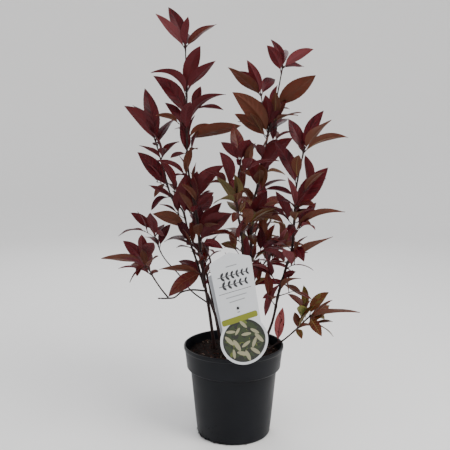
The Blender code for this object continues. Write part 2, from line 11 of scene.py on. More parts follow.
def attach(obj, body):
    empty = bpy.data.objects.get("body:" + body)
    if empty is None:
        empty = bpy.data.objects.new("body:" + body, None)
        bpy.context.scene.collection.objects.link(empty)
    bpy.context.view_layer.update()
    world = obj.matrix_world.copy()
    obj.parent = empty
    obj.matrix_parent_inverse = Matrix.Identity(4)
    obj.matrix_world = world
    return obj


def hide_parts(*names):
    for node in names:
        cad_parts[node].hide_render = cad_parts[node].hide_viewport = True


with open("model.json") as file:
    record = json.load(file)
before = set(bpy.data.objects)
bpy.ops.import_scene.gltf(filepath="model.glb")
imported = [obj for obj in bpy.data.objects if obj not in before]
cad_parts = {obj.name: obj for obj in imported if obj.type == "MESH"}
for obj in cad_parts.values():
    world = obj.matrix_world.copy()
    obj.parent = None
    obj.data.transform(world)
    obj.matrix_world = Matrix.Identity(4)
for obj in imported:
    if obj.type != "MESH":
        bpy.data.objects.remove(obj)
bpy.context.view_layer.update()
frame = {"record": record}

MM = 0.001

# Camera, fitted to the ellipses of the pot in the photograph, and the ground it stands on
CAMERA_PLACE = (-0.0148, -1.118, 0.519)
CAMERA_PITCH = math.radians(8.06)
CAMERA_LENS = 54.0
FLOOR_RADIUS = 2.2
BOWL_ROUND = 0.9
FLOOR_SIDES = 96

# Driving sizes of the pot
POT_HEIGHT = 0.156
POT_LIP_RADIUS = 0.085
POT_BAND_TOP_RADIUS = 0.0832
POT_BAND_FOOT_RADIUS = 0.0802
POT_BODY_TOP_RADIUS = 0.0738
POT_BODY_FOOT_RADIUS = 0.063
POT_BAND_DEPTH = 0.0365
POT_LEDGE_DEPTH = 0.0415
POT_LIP_DEPTH = 0.0065
POT_FOOT_ROUND = 0.004
POT_WALL = 0.0014
POT_FLOOR = 0.0022
POT_SIDES = 144
POT_UNEVENNESS = 0.004
BAND_FOOT = POT_HEIGHT - POT_BAND_DEPTH
LEDGE_FOOT = POT_HEIGHT - POT_LEDGE_DEPTH
LIP_FOOT = POT_HEIGHT - POT_LIP_DEPTH
LEDGE_GROOVE = 0.0006
LEDGE_OVERHANG = 0.0014
LEDGE_ROUND = 0.003
BODY_SLOPE = (POT_BODY_TOP_RADIUS - POT_BODY_FOOT_RADIUS) / LEDGE_FOOT
RECESS_RADIUS = 0.034
RECESS_DEPTH = 0.0015
DRAIN_HOLES = 8
DRAIN_HOLE_RADIUS = 0.0045
DRAIN_RING_RADIUS = 0.044

# Compost, what lies on it, and where round the pot's foot crumbs cling, mostly at the front left
SOIL_LEVEL = 0.143
SOIL_FLAT_RADIUS = 0.066
SOIL_FALL_WIDTH = 0.014
SOIL_FALL = 0.0045
SOIL_RINGS = 56
SOIL_SIDES = 150
GRAIN_COUNT = 2600
CRUMB_COUNT = 90
CRUMB_SPANS = ((205, 262), (205, 262), (262, 560))
FIBRE_COUNT = 90
LUMP_UNEVENNESS = 0.25

# Driving sizes of the tag
TAG_THICKNESS = 0.0008
TAG_TOP_HALF_WIDTH = 0.034
TAG_WAIST_HALF_WIDTH = 0.0315
TAG_DISC_RADIUS = 0.039
TAG_SHOULDER_HEIGHT = 0.131
TAG_PEAK_HEIGHT = 0.1435
TAG_CORNER = 0.005
TAG_DISC_CENTRE_HEIGHT = 0.187
TAG_TILT = math.radians(9.5)
TAG_LEAN = math.radians(4)
TAG_TURN = math.radians(11)
TAG_PIN_HEIGHT = 0.0535
TAG_BORDER = 0.0042
STAKE_HALF_WIDTH = 0.027
STAKE_POINT = 0.022
STAKE_BOTTOM = 0.1435
STAKE_TOP = 0.300
STAKE_TILT = math.radians(12)
STAKE_SHIFT = 0.0035
STAKE_STANDOFF = 0.012
CAD_GAP = 0.0003

# The tag's print: colours, then bars with their ends, height and layer, then the ovals of the
# disc with their number, half length, share of width and how pointed they are
FILM_THICKNESS = 0.00003
FILM_STANDOFF = 0.00002
FILM_ROOT = 0.0001
SPRIG_HEADING = 0.06
PRINT_COLOURS = {
    "dark": (0.014, 0.014, 0.017),
    "grey": (0.26, 0.27, 0.28),
    "band": (0.165, 0.180, 0.006),
    "deep": (0.010, 0.012, 0.007),
    "leaf": (0.020, 0.032, 0.007),
    "lime": (0.085, 0.105, 0.010),
    "cream": (0.260, 0.245, 0.150),
}
PRINT_BARS = (
    ("dark", (-0.027, 0.0795), (0.026, 0.0834), 0.0008, 1),
    ("grey", (-0.017, 0.0723), (0.017, 0.0747), 0.0016, 1),
    ("grey", (-0.013, 0.0648), (0.013, 0.0672), 0.0016, 1),
    ("grey", (-0.009, 0.1215), (0.009, 0.1228), 0.0016, 1),
    ("band", (-0.0305, 0.0335), (0.0285, 0.0395), 0.0098, 3),
)
PRINT_OVALS = (
    ("leaf", 40, 0.0065, 0.50, 0.4),
    ("lime", 14, 0.0042, 0.60, 0.4),
    ("deep", 12, 0.0040, 0.80, 0.4),
    ("cream", 14, 0.0085, 0.32, 0.1),
)

# Finishes and edges
FINE_DETAIL = 4.0
BROAD_DETAIL = 6.0
BUMP_STRENGTH = 0.5
CRISP = 40
ALL_SMOOTH = 180

# Each cane: points that its middle line passes, in millimetres, then its radius in
# millimetres at its foot and at its tip.
CANES = {
    "tall_left_cane": (
        [(-33, 12, 143), (-42, 12, 211), (-49, 14, 255), (-56, 16, 308), (-61, 18, 360),
         (-71, 20, 418), (-78, 20, 468), (-78, 20, 561), (-80, 25, 655)], 2.9, 1.0),
    "tall_left_prop": (
        [(-9, -12, 143), (-30, -3, 203), (-46, 11, 243)], 3.0, 2.2),
    "left_side_cane": (
        [(-50, 14, 250), (-63, 22, 293), (-77, 33, 333), (-87, 44, 377), (-108, 58, 401),
         (-122, 68, 446), (-137, 76, 500)], 2.1, 1.0),
    "low_left_upper_bough": (
        [(-45, 12, 224), (-74, 34, 240), (-95, 60, 261), (-128, 88, 292), (-148, 100, 340)], 1.4, 0.9),
    "low_left_bough": (
        [(-48, 12, 245), (-71, -6, 251), (-87, -22, 251), (-98, -34, 245), (-110, -40, 245),
         (-121, -48, 247)], 1.6, 1.2),
    "low_left_shoot": (
        [(-108, -39, 246), (-119, -52, 265), (-130, -66, 288), (-141, -80, 315)], 1.4, 0.9),
    "tall_right_cane": (
        [(29, 20, 143), (32, 28, 225), (30, 35, 309), (34, 42, 390), (49, 48, 447),
         (59, 54, 510), (73, 60, 568), (84, 66, 625)], 2.7, 1.0),
    "right_upper_bough": (
        [(60, 55, 513), (53, 58, 543), (47, 60, 578)], 1.2, 0.9),
    "middle_cane": (
        [(10, -20, 143), (12, -30, 240), (14, -40, 325), (4, -46, 407), (10, -52, 470)], 2.4, 1.0),
    "right_cane": (
        [(46, -4, 143), (65, -12, 197), (75, -20, 251), (87, -27, 298), (95, -34, 332),
         (97, -42, 390), (98, -52, 428), (108, -66, 490)], 2.5, 1.0),
    "low_right_bough": (
        [(59, 0, 143), (71, 3, 152), (85, 3, 160), (101, -5, 177), (114, -12, 193),
         (128, -20, 210)], 1.6, 1.0),
    "back_left_cane": (
        [(-22, 30, 143), (-43, 50, 247), (-59, 84, 305), (-70, 112, 365)], 2.3, 1.1),
    "back_right_cane": (
        [(14, 40, 143), (22, 70, 230), (32, 100, 300), (54, 128, 362)], 2.3, 1.1),
    "back_side_bough": (
        [(23, 73, 238), (50, 90, 268), (76, 104, 300)], 1.4, 1.0),
}
STEP_ALONG_CANE = 0.0022
CANE_SIDES = 12
FOOT_DEPTH = 0.006
FOOT_SHARE = -0.02
END_GIRTH = 0.35
END_TAPER = 0.004
NODE_SWELLING = 0.30
NODE_SPREAD = 0.0032
FOOT_FLARE = 0.5
FLARE_SPREAD = 0.011
RIDGE_DEPTH = 0.045
PORE_DEPTH = 0.03

# Each group of leaves: the cane that carries it, its middle, and for each of its main leaves
# how far the tip reaches from that middle (right, back, up) in millimetres, how the blade
# faces the front, and its colour. A leaf without words has the usual look.
LEAF_GROUPS = {
    "left_tip": ("tall_left_cane", (-81, 26, 662), [
        (-28, 14, 58), (-46, -16, 42, "part", "pink"), (7, -26, 36, "part", "wine"),
        (52, 19, 31, "part", "brown"), (-4, 46, 22)]),
    "left_upper": ("tall_left_cane", (-75, 24, 592), [
        (-60, -24, 18, "arch", "dark"), (21, -34, 59), (45, -44, 35, "part", "dark"),
        (6, 51, 5, "part", "wine")]),
    "left_middle": ("tall_left_cane", (-78, 20, 530), [
        (-57, 15, 78), (65, -15, 46, "arch", "dark"), (8, -48, 33, "broad", "dark"),
        (-19, 60, 16, "part", "wine")]),
    "left_node": ("tall_left_cane", (-78, 20, 480), [
        (89, -40, 45, "part", "brown"), (-31, 30, -10, "part", "wine"), (-12, 6, 52)]),
    "left_lower": ("tall_left_cane", (-63, 20, 407), [
        (47, -20, 53), (30, -40, 10), (-5, -34, -22, "broad", "pink"),
        (-5, 50, 23, "part", "brown"), (2, -16, 44)]),
    "side_top": ("left_side_cane", (-138, 78, 508), [
        (-18, 12, 83), (-49, -28, 51), (-41, 22, 54, "edge", "dark"),
        (35, 32, 30, "part", "dark"), (4, -34, -16)]),
    "side_lower": ("left_side_cane", (-101, 55, 407), [
        (-70, 35, 72), (-44, -25, 18, "part", "dark"), (-41, 35, -9, "part", "brown"),
        (-40, -25, -25, "edge", "dark"), (22, -55, 40), (3, 65, -8, "part", "wine")]),
    "side_base": ("left_side_cane", (-92, 40, 350), [
        (-45, -36, 29, "broad", "brown"), (-30, 34, 9, "part", "wine"), (12, -24, -26, "broad", "brown")]),
    "front_left": ("tall_left_cane", (-52, 0, 336), [
        (-4, -30, 31, "broad", "brown"), (-4, -18, -34, "part", "brown"), (50, -40, 50),
        (32, 4, 62), (34, -10, -14, "broad", "pink")]),
    "hanging": ("tall_left_cane", (-62, 12, 291), [
        (-62, -32, -2, "part", "brown"), (-45, -57, -42, "broad", "brown"), (-35, 38, -2, "part", "wine"),
        (20, 38, -4, "part", "brown")]),
    "low_left_upper": ("low_left_upper_bough", (-149, 100, 340), [
        (-39, 10, 28), (3, -40, 34), (21, 30, 4, "part", "wine"),
        (27, -34, -8), (-12, 40, 16, "part", "dark")]),
    "low_left": ("low_left_shoot", (-142, -80, 318), [
        (-63, -20, 5, "part", "brown"), (-35, 20, 26), (1, -30, 44),
        (20, -40, 33, "broad", "dark"), (6, 30, 12, "part", "wine"), (17, 30, -23, "part", "brown"),
        (-8, -24, -22, "part", "brown")]),
    "middle_upper": ("middle_cane", (12, -52, 478), [
        (-14, 22, 48, "broad", "brown"), (-33, -38, 22), (11, -46, 26),
        (14, 24, -34, "part", "brown"), (-8, -30, -12)]),
    "middle_lower": ("middle_cane", (4, -47, 400), [
        (-32, -22, 46, "part", "olive"), (3, -42, 24, "broad", "mottled"), (-16, 38, 45, "part", "pink"),
        (27, 26, 4, "broad", "mottled"), (-7, -34, -24, "broad", "brown")]),
    "right_tip": ("tall_right_cane", (84, 66, 634), [
        (-20, 9, 38), (-29, -26, 24), (8, 54, 26),
        (51, -16, 19, "broad", "pink"), (40, 28, -6, "part", "wine")]),
    "right_upper": ("right_upper_bough", (46, 60, 589), [
        (-56, -30, 32, "part", "brown"), (-41, 30, 31), (-24, -12, 46),
        (28, 42, 18)]),
    "right_middle": ("tall_right_cane", (58, 56, 530), [
        (-61, -36, 50, "broad", "brown"), (-57, -16, 15, "broad", "brown"), (76, -46, 77, "broad", "brown"),
        (41, 54, 8, "part", "dark"), (-25, 40, 40, "broad", "dark"), (-6, -30, 46, "broad", "dark"),
        (20, -34, 20)]),
    "right_inner": ("tall_right_cane", (42, 40, 428), [
        (55, -38, 77), (-32, -44, -3, "part", "brown"), (0, -46, 26, "broad", "mottled"),
        (12, 62, -7, "part", "brown"), (22, 10, 50, "broad", "dark"), (-24, -20, 48)]),
    "core": ("tall_right_cane", (50, 32, 362), [
        (5, -42, 57), (43, -30, 21, "part", "brown"), (39, 40, -7, "part", "brown"),
        (-27, -52, 22, "broad", "olive"), (-13, -34, -38, "broad", "mottled"),
        (-42, -38, -20, "part", "brown")]),
    "right_shoot_tip": ("right_cane", (109, -67, 496), [
        (-24, 26, 40), (29, 6, 52), (33, -44, 37, "part", "brown"),
        (64, -14, 11, "part", "mottled"), (4, 42, 12, "part", "wine")]),
    "right_shoot_upper": ("right_cane", (99, -56, 448), [
        (-34, 36, 52), (-3, -42, 33, "broad", "mottled")]),
    "right_shoot_lower": ("right_cane", (98, -45, 372), [
        (55, 25, 86), (24, -53, 26, "part", "wine"), (77, -15, 18, "edge", "brown"),
        (28, 18, -8, "part", "brown"), (0, -55, 22, "broad", "mottled"), (-11, -35, -19)]),
    "right_side": ("right_cane", (84, -30, 322), [
        (74, -20, 27, "edge", "brown"), (26, -40, -10), (36, 30, 2, "part", "brown"),
        (-38, -20, 6, "part", "wine")]),
    "right_low": ("right_cane", (72, -14, 270), [
        (30, -18, 18), (36, -38, 11, "part", "brown"), (-22, 32, -40, "broad", "pink"),
        (44, 24, -33, "part", "brown"), (-20, -8, -60, "part", "wine")]),
    "low_right": ("low_right_bough", (131, -21, 212), [
        (29, 11, 36, "broad", "olive"), (74, -29, 12, "edge", "brown"), (-22, -30, 24, "broad", "lime"),
        (11, -40, -25, "broad", "mottled"), (27, 40, -20, "part", "green"),
        # The last leaf here has the glow of light through it painted into its colour.
        (-46, 34, 4, "broad", "crimson_painted_glow")]),
    "back_left": ("back_left_cane", (-71, 114, 372), [
        (-38, 40, 30), (34, 44, 22), (2, 50, -30, "broad", "dark"),
        (-12, 26, 56)]),
    "back_right": ("back_right_cane", (56, 130, 368), [
        (-40, 40, 24, "broad", "brown"), (36, 46, 22, "broad", "brown"), (-6, 30, 58),
        (10, 52, -26, "broad", "brown")]),
    "back_side": ("back_side_bough", (80, 106, 305), [
        (44, 34, 26), (50, -12, 6, "part", "brown"), (8, 54, 12),
        (16, 24, -34, "part", "brown")]),
}

# The share of a blade's width that each way of facing shows, and how far blades arch
USUAL_LOOK = ("broad", "wine")
SEEN_SHARES = {"broad": 0.97, "part": 0.68, "edge": 0.50, "arch": 0.48}
BOW_OF_ARCH = 0.24
USUAL_BOW = (0.03, 0.14)

# Where a main leaf leaves its cane: the usual angles for rising, level and hanging leaves
RISING_ANGLE = math.radians(40)
LEVEL_ANGLE = math.radians(65)
HANGING_ANGLE = math.radians(100)
ANGLE_EASE = math.radians(26)
LENGTH_EASE = 0.016
LENGTH_BEYOND_REACH = 1.12
MAIN_LEAF_LENGTH = (0.040, 0.090)
LOWEST_LEAF = 0.150

# Side shoots by the seeded rule: how many, the stretch of the cane that carries them, and the
# tones that their leaves are drawn from
SHOOTS = {
    "tall_left_cane": (11, 0.26, 0.80, ("wine", "brown", "brown", "dark")),
    "left_side_cane": (5, 0.25, 0.88, ("wine", "dark")),
    "tall_right_cane": (12, 0.30, 0.86, ("wine", "brown", "brown", "dark", "mottled")),
    "middle_cane": (9, 0.36, 0.95, ("brown", "olive", "dark", "wine")),
    "right_cane": (10, 0.22, 0.78, ("wine", "brown", "pink", "dark")),
    "low_right_bough": (3, 0.55, 0.95, ("olive", "green", "brown", "mottled")),
    "low_left_shoot": (2, 0.50, 0.90, ("brown", "dark")),
    "low_left_upper_bough": (2, 0.70, 0.95, ("wine", "dark")),
    "back_left_cane": (10, 0.36, 0.97, ("wine", "brown", "dark")),
    "back_right_cane": (10, 0.34, 0.97, ("brown", "wine", "olive")),
    "back_side_bough": (6, 0.35, 0.95, ("wine", "brown")),
}
TWIG_GIRTH = 0.45
TWIG_SIDES = 7
THINNEST_TWIG = 0.0005
SHOOT_LENGTH = (0.012, 0.030)
SHOOT_LEAF_LENGTH = (0.033, 0.058)
SHOOT_LEAF_RATIO = (0.30, 0.38)
SHOOT_LEAF_BOW = (0.05, 0.16)
SHOOT_PETIOLE_LENGTH = 0.004
SHOOT_TURN = math.radians(144)
BUD_LENGTH = 0.0022

# Leaf blade: its outline, its rows and columns, and what varies from leaf to leaf
LEAF_SHAPE_RATIO = 0.335
LEAF_WIDTH_SPREAD = (0.86, 1.14)
LEAF_WIDTH_LIMITS = (0.013, 0.034)
BLADE_BASE_POWER = 0.85
BLADE_TIP_POWER = 1.02
VEIN_PAIRS = 8
VEIN_HALF_WIDTH = 0.004
MARGIN_SHIFT = 0.17
MIDRIB_COLUMN = 0.045
COLUMNS = (-1.0, -0.74, -0.44, -0.17, -MIDRIB_COLUMN, MIDRIB_COLUMN, 0.17, 0.44, 0.74, 1.0)
LEAF_LINE_STEPS = 24
LEAF_THICKNESS = 0.00028
MIDRIB_SINK = 0.00025
MIDRIB_HEIGHT = 0.00055
QUILT_HEIGHT = 0.00026
TOOTH_DEPTH = 0.035
PETIOLE_LENGTH = 0.0065
PETIOLE_RADIUS = 0.0007
LONGEST_PETIOLE_SHARE = 0.14
LEAF_SIDEWAYS = (-0.09, 0.09)
LEAF_FREE_ROLL = (-0.65, 0.65)
LEAF_TWIST = (-0.35, 0.35)
LEAF_FOLD = (0.20, 0.50)
LEAF_CUP = (-0.5, 0.9)
LEAF_WAVE = (0.02, 0.07)

# Each tone as its four colours: face, blotches, veins and underside
TONES = {
    "wine": ("wine", "dark", "wine_vein", "wine_under"),
    "dark": ("dark", "purple", "wine_vein", "wine_under"),
    "pink": ("pink", "wine", "pink_vein", "pink_under"),
    "crimson_painted_glow": ("crimson_painted_glow", "brown", "pink_vein", "pink_under"),
    "brown": ("brown", "wine", "brown_vein", "brown_under"),
    "mottled": ("olive_brown", "brown", "pale_vein", "brown_under"),
    "olive": ("olive_brown", "olive", "brown_vein", "olive_under"),
    "green": ("olive", "olive_brown", "pale_vein", "olive_under"),
    "lime": ("lime", "olive", "pale_vein", "lime_under"),
}
LEAF_COLOURS = {
    "wine": (0.046, 0.0036, 0.0062),
    "dark": (0.026, 0.0024, 0.0042),
    "purple": (0.028, 0.0030, 0.0090),
    "pink": (0.085, 0.0110, 0.0150),
    # This colour is a red leaf painted with the bright glow of light shining through it from behind.
    "crimson_painted_glow": (0.330, 0.1000, 0.1000),
    "brown": (0.056, 0.0120, 0.0068),
    "olive_brown": (0.062, 0.0250, 0.0082),
    "olive": (0.068, 0.0580, 0.0130),
    "lime": (0.170, 0.2100, 0.0220),
    "wine_vein": (0.086, 0.0120, 0.0160),
    "pink_vein": (0.170, 0.0420, 0.0480),
    "brown_vein": (0.105, 0.0330, 0.0180),
    "pale_vein": (0.175, 0.1150, 0.0450),
    "wine_under": (0.074, 0.0150, 0.0180),
    "pink_under": (0.140, 0.0380, 0.0420),
    "brown_under": (0.088, 0.0340, 0.0200),
    "olive_under": (0.096, 0.0760, 0.0290),
    "lime_under": (0.200, 0.2150, 0.0620),
}
COLOUR_ORDER = list(LEAF_COLOURS)

# How strong the pattern must be for a spot of a blade to take the blotches' colour
BLOTCH_LIMITS = {"mottled": 0.06, "olive": 0.15, "green": 0.12, "brown": 0.20}
PLAIN_BLOTCH_LIMIT = 0.24
MOTTLE_STEP = (0.33, 0.16)
GREEN_STALKED = ("lime", "green")

# The pieces that the leaves are joined to: the slot that each takes, and its tones
LEAF_PIECES = {
    "leaves_wine": ("wine_leaves", ("wine", "pink", "crimson_painted_glow")),
    "leaves_dark": ("wine_leaves", ("dark",)),
    "leaves_brown": ("brown_leaves", ("brown",)),
    "leaves_olive": ("olive_leaves", ("mottled", "olive", "green", "lime")),
}
LEAF_PIECE_FACES = 80000

picker = random.Random(7)


# Materials

def spread(nodes, links, source, low, high):
    """Stretches a pattern's middle range to values from low to high."""
    reach = nodes.new("ShaderNodeMapRange")
    reach.inputs["From Min"].default_value = 0.3
    reach.inputs["From Max"].default_value = 0.7
    reach.inputs["To Min"].default_value = low
    reach.inputs["To Max"].default_value = high
    links.new(source, reach.inputs["Value"])
    return reach.outputs["Result"]


def new_material(name, roughness_limits, broad, grain, relief, specular):
    """A finish with roughness and a fine relief that vary, its shader and its broad pattern."""
    finish = bpy.data.materials.new(name)
    finish.use_nodes = True
    nodes, links = finish.node_tree.nodes, finish.node_tree.links
    shader = nodes["Principled BSDF"]
    shader.inputs["Specular IOR Level"].default_value = specular
    coordinates = nodes.new("ShaderNodeTexCoord")
    patterns = []
    for scale, detail in (broad, (grain, FINE_DETAIL)):
        pattern = nodes.new("ShaderNodeTexNoise")
        pattern.inputs["Scale"].default_value = scale
        pattern.inputs["Detail"].default_value = detail
        links.new(coordinates.outputs["Object"], pattern.inputs["Vector"])
        patterns.append(pattern.outputs["Fac"])
    links.new(spread(nodes, links, patterns[0], *roughness_limits), shader.inputs["Roughness"])
    bump = nodes.new("ShaderNodeBump")
    bump.inputs["Strength"].default_value = BUMP_STRENGTH
    bump.inputs["Distance"].default_value = relief
    links.new(patterns[1], bump.inputs["Height"])
    links.new(bump.outputs["Normal"], shader.inputs["Normal"])
    return finish, shader, patterns[0]


def plain_material(name, colour, roughness, grain, relief, subsurface=0.0, specular=0.5):
    """One colour all over."""
    limits = (roughness - 0.07, roughness + 0.09)
    finish, shader, _ = new_material(name, limits, (grain / 12, FINE_DETAIL), grain, relief, specular)
    shader.inputs["Base Color"].default_value = (*colour, 1.0)
    if subsurface:
        shader.inputs["Subsurface Weight"].default_value = subsurface
        shader.inputs["Subsurface Radius"].default_value = (1.0, 0.25, 0.18)
        shader.inputs["Subsurface Scale"].default_value = 0.002
    return finish


def mixed_material(name, dark, light, roughness, scale, grain, relief, specular):
    """Two colours mixed by the broad pattern."""
    limits = (roughness - 0.06, roughness + 0.08)
    finish, shader, broad = new_material(name, limits, (scale, BROAD_DETAIL), grain, relief, specular)
    nodes, links = finish.node_tree.nodes, finish.node_tree.links
    mix = nodes.new("ShaderNodeMix")
    mix.data_type = "RGBA"
    mix.inputs["A"].default_value = (*dark, 1.0)
    mix.inputs["B"].default_value = (*light, 1.0)
    links.new(spread(nodes, links, broad, 0.0, 1.0), mix.inputs["Factor"])
    links.new(mix.outputs["Result"], shader.inputs["Base Color"])
    return finish


# Mesh helpers

def add_piece(name, shape, finishes, smooth_angle, face_finish=None, body="root"):
    """A mesh of the given corners and faces; edges bent by more than the angle stay crisp."""
    corners, faces = shape
    mesh = bpy.data.meshes.new(name)
    mesh.from_pydata(corners, [], faces)
    for finish in finishes:
        mesh.materials.append(finish)
    if face_finish:
        mesh.polygons.foreach_set("material_index", face_finish)
    mesh.validate()
    mesh.update()
    mesh.shade_smooth()
    if smooth_angle < ALL_SMOOTH:
        mesh.set_sharp_from_angle(angle=math.radians(smooth_angle))
    item = bpy.data.objects.new(name, mesh)
    bpy.context.scene.collection.objects.link(item)
    if body:
        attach(item, body)
    return item


class Bundle:
    """Many small closed shapes that become one piece, with a material number for each face."""

    def __init__(self):
        self.corners = []
        self.faces = []
        self.kinds = []

    def add(self, shape, kinds=0):
        corners, faces = shape
        start = len(self.corners)
        self.corners.extend(corners)
        self.faces.extend(tuple(start + index for index in face) for face in faces)
        self.kinds.extend(kinds if isinstance(kinds, list) else [kinds] * len(faces))

    def piece(self, name, finishes, smooth_angle):
        return add_piece(name, (self.corners, self.faces), finishes, smooth_angle, self.kinds)


def smooth_path(points, step):
    """Points about a step apart on a smooth curve through the given points."""
    given = [Vector(point) * MM for point in points]
    ends = [2 * given[0] - given[1]] + given + [2 * given[-1] - given[-2]]
    path = [given[0]]
    for index in range(1, len(ends) - 2):
        a, b, c, d = ends[index - 1:index + 3]
        parts = max(1, round((c - b).length / step))
        for part in range(1, parts + 1):
            t = part / parts
            path.append(0.5 * (2 * b + (c - a) * t + (2 * a - 5 * b + 4 * c - d) * t ** 2
                               + (3 * b - a - 3 * c + d) * t ** 3))
    return path


def skin(rings, flip=False):
    """The surface through rings of corners; a ring of one corner is a pole, flip turns it inside out."""
    corners = [corner for ring in rings for corner in ring]
    faces = []
    low = 0
    for ring, following in zip(rings, rings[1:]):
        high = low + len(ring)
        sides = max(len(ring), len(following))
        for side in range(sides):
            after = (side + 1) % sides
            if len(ring) == 1:
                face = (low, high + after, high + side)
            elif len(following) == 1:
                face = (low + side, low + after, high)
            else:
                face = (low + side, low + after, high + after, high + side)
            faces.append((face[0],) + face[:0:-1] if flip else face)
        low = high
    return corners, faces


def capped(rings, flip=False):
    """A closed solid through rings of corners, with one face over the first ring and the last."""
    corners, faces = skin(rings, flip)
    count = len(rings[0])
    first = tuple(range(count))
    last = tuple(range(len(corners) - count, len(corners)))
    return corners, faces + ([first, last[::-1]] if flip else [first[::-1], last])


def polar(reach, angle, height=0.0):
    return Vector((reach * math.cos(angle), reach * math.sin(angle), height))


def ring_of(radius, height, sides, uneven=0.0):
    """Corners of a level ring round the upright axis; a ring of no radius is a pole."""
    if radius == 0.0:
        return [Vector((0.0, 0.0, height))]
    angles = [2 * math.pi * side / sides for side in range(sides)]
    return [polar(radius * (1 + uneven * math.sin(2 * angle + 0.7)), angle, height) for angle in angles]


def tube(path, radius_at, sides):
    """A closed tube along a path; radius_at(ring, angle) gives its radius."""
    rings = []
    side = Vector((1.0, 0.13, 0.0))
    last = len(path) - 1
    for ring, point in enumerate(path):
        along = (path[min(last, ring + 1)] - path[max(0, ring - 1)]).normalized()
        side = (side - along * side.dot(along)).normalized()
        other = along.cross(side)
        corners = []
        for number in range(sides):
            angle = 2 * math.pi * number / sides
            arm = math.cos(angle) * side + math.sin(angle) * other
            corners.append(point + radius_at(ring, angle) * arm)
        rings.append(corners)
    return capped(rings)


def lathe(profile, sides, wobble=0.0):
    """A turned solid whose profile starts and ends on the axis; wobble makes it a little uneven."""
    return skin([ring_of(radius, height, sides, wobble * height / POT_HEIGHT) for radius, height in profile])


def arc(centre, radius, start, end, steps):
    """Points of a circle's arc between two angles in degrees."""
    points = []
    for step in range(steps + 1):
        angle = math.radians(start + (end - start) * step / steps)
        points.append((centre[0] + radius * math.cos(angle), centre[1] + radius * math.sin(angle)))
    return points


def lump(centre, size, rng):
    """An uneven grain: a turned and stretched octahedron."""
    poles = ((1, 0, 0), (0, 1, 0), (-1, 0, 0), (0, -1, 0), (0, 0, 1), (0, 0, -1))
    turn = Matrix.Rotation(rng.uniform(0, 6.28), 3, "Z") @ Matrix.Rotation(rng.uniform(0, 3.14), 3, "X")
    stretch = Matrix.Diagonal((rng.uniform(0.6, 1.3), rng.uniform(0.6, 1.0), rng.uniform(0.4, 0.8)))
    corners = []
    for pole in poles:
        uneven = rng.uniform(1 - LUMP_UNEVENNESS, 1 + LUMP_UNEVENNESS)
        corners.append(Vector(centre) + turn @ stretch @ Vector(pole) * size * uneven)
    faces = []
    for number in range(4):
        after = (number + 1) % 4
        faces += [(number, after, 4), (after, number, 5)]
    return corners, faces


# Pot and compost

def pot_inner_radius(height):
    """The inside of the pot's wall at a height."""
    steps = ((0.0, POT_BODY_FOOT_RADIUS), (LEDGE_FOOT, POT_BODY_TOP_RADIUS),
             (BAND_FOOT, POT_BAND_FOOT_RADIUS), (POT_HEIGHT, POT_BAND_TOP_RADIUS))
    for (low, narrow), (high, wide) in zip(steps, steps[1:]):
        if height <= high:
            break
    return narrow + (wide - narrow) * (height - low) / (high - low) - POT_WALL


def pot_profile():
    """The pot's outline from the middle of its underside, up its outside and down its inside."""
    foot = [(0.0, RECESS_DEPTH), (0.030, RECESS_DEPTH), (RECESS_RADIUS, RECESS_DEPTH),
            (RECESS_RADIUS + RECESS_DEPTH, 0.0), (0.050, 0.0)]
    foot += arc((POT_BODY_FOOT_RADIUS - POT_FOOT_ROUND, POT_FOOT_ROUND), POT_FOOT_ROUND, -90, 0, 6)
    body = []
    for share in (0.2, 0.4, 0.6, 0.8, 0.97):
        radius = POT_BODY_FOOT_RADIUS + share * (POT_BODY_TOP_RADIUS - POT_BODY_FOOT_RADIUS)
        body.append((radius, share * LEDGE_FOOT))
    ledge = [(POT_BODY_TOP_RADIUS - LEDGE_GROOVE, LEDGE_FOOT + 0.0004),
             (POT_BODY_TOP_RADIUS + LEDGE_OVERHANG, LEDGE_FOOT + 0.0002)]
    ledge += arc((POT_BAND_FOOT_RADIUS - LEDGE_ROUND, BAND_FOOT - 0.0005), LEDGE_ROUND, -70, 0, 5)
    band = [(POT_BAND_FOOT_RADIUS + 0.0013, BAND_FOOT + 0.013),
            (POT_BAND_FOOT_RADIUS + 0.0027, BAND_FOOT + 0.024),
            (POT_BAND_TOP_RADIUS - 0.0003, LIP_FOOT - 0.0016), (POT_BAND_TOP_RADIUS, LIP_FOOT - 0.0008),
            (POT_LIP_RADIUS - 0.0004, LIP_FOOT), (POT_LIP_RADIUS, LIP_FOOT + 0.0008)]
    lip_round = (POT_LIP_RADIUS - pot_inner_radius(POT_HEIGHT)) / 2
    lip = arc((POT_LIP_RADIUS - lip_round, POT_HEIGHT - lip_round), lip_round, 0, 180, 10)
    inside = [(pot_inner_radius(height), height) for height in
              (POT_HEIGHT - 0.006, POT_HEIGHT - 0.02, BAND_FOOT, LEDGE_FOOT, 0.05, 0.006)]
    floor = [(pot_inner_radius(POT_FLOOR) - 0.003, POT_FLOOR + 0.0002), (0.036, POT_FLOOR),
             (0.0, POT_FLOOR + 0.001)]
    return foot + body + ledge + band + lip + inside + floor


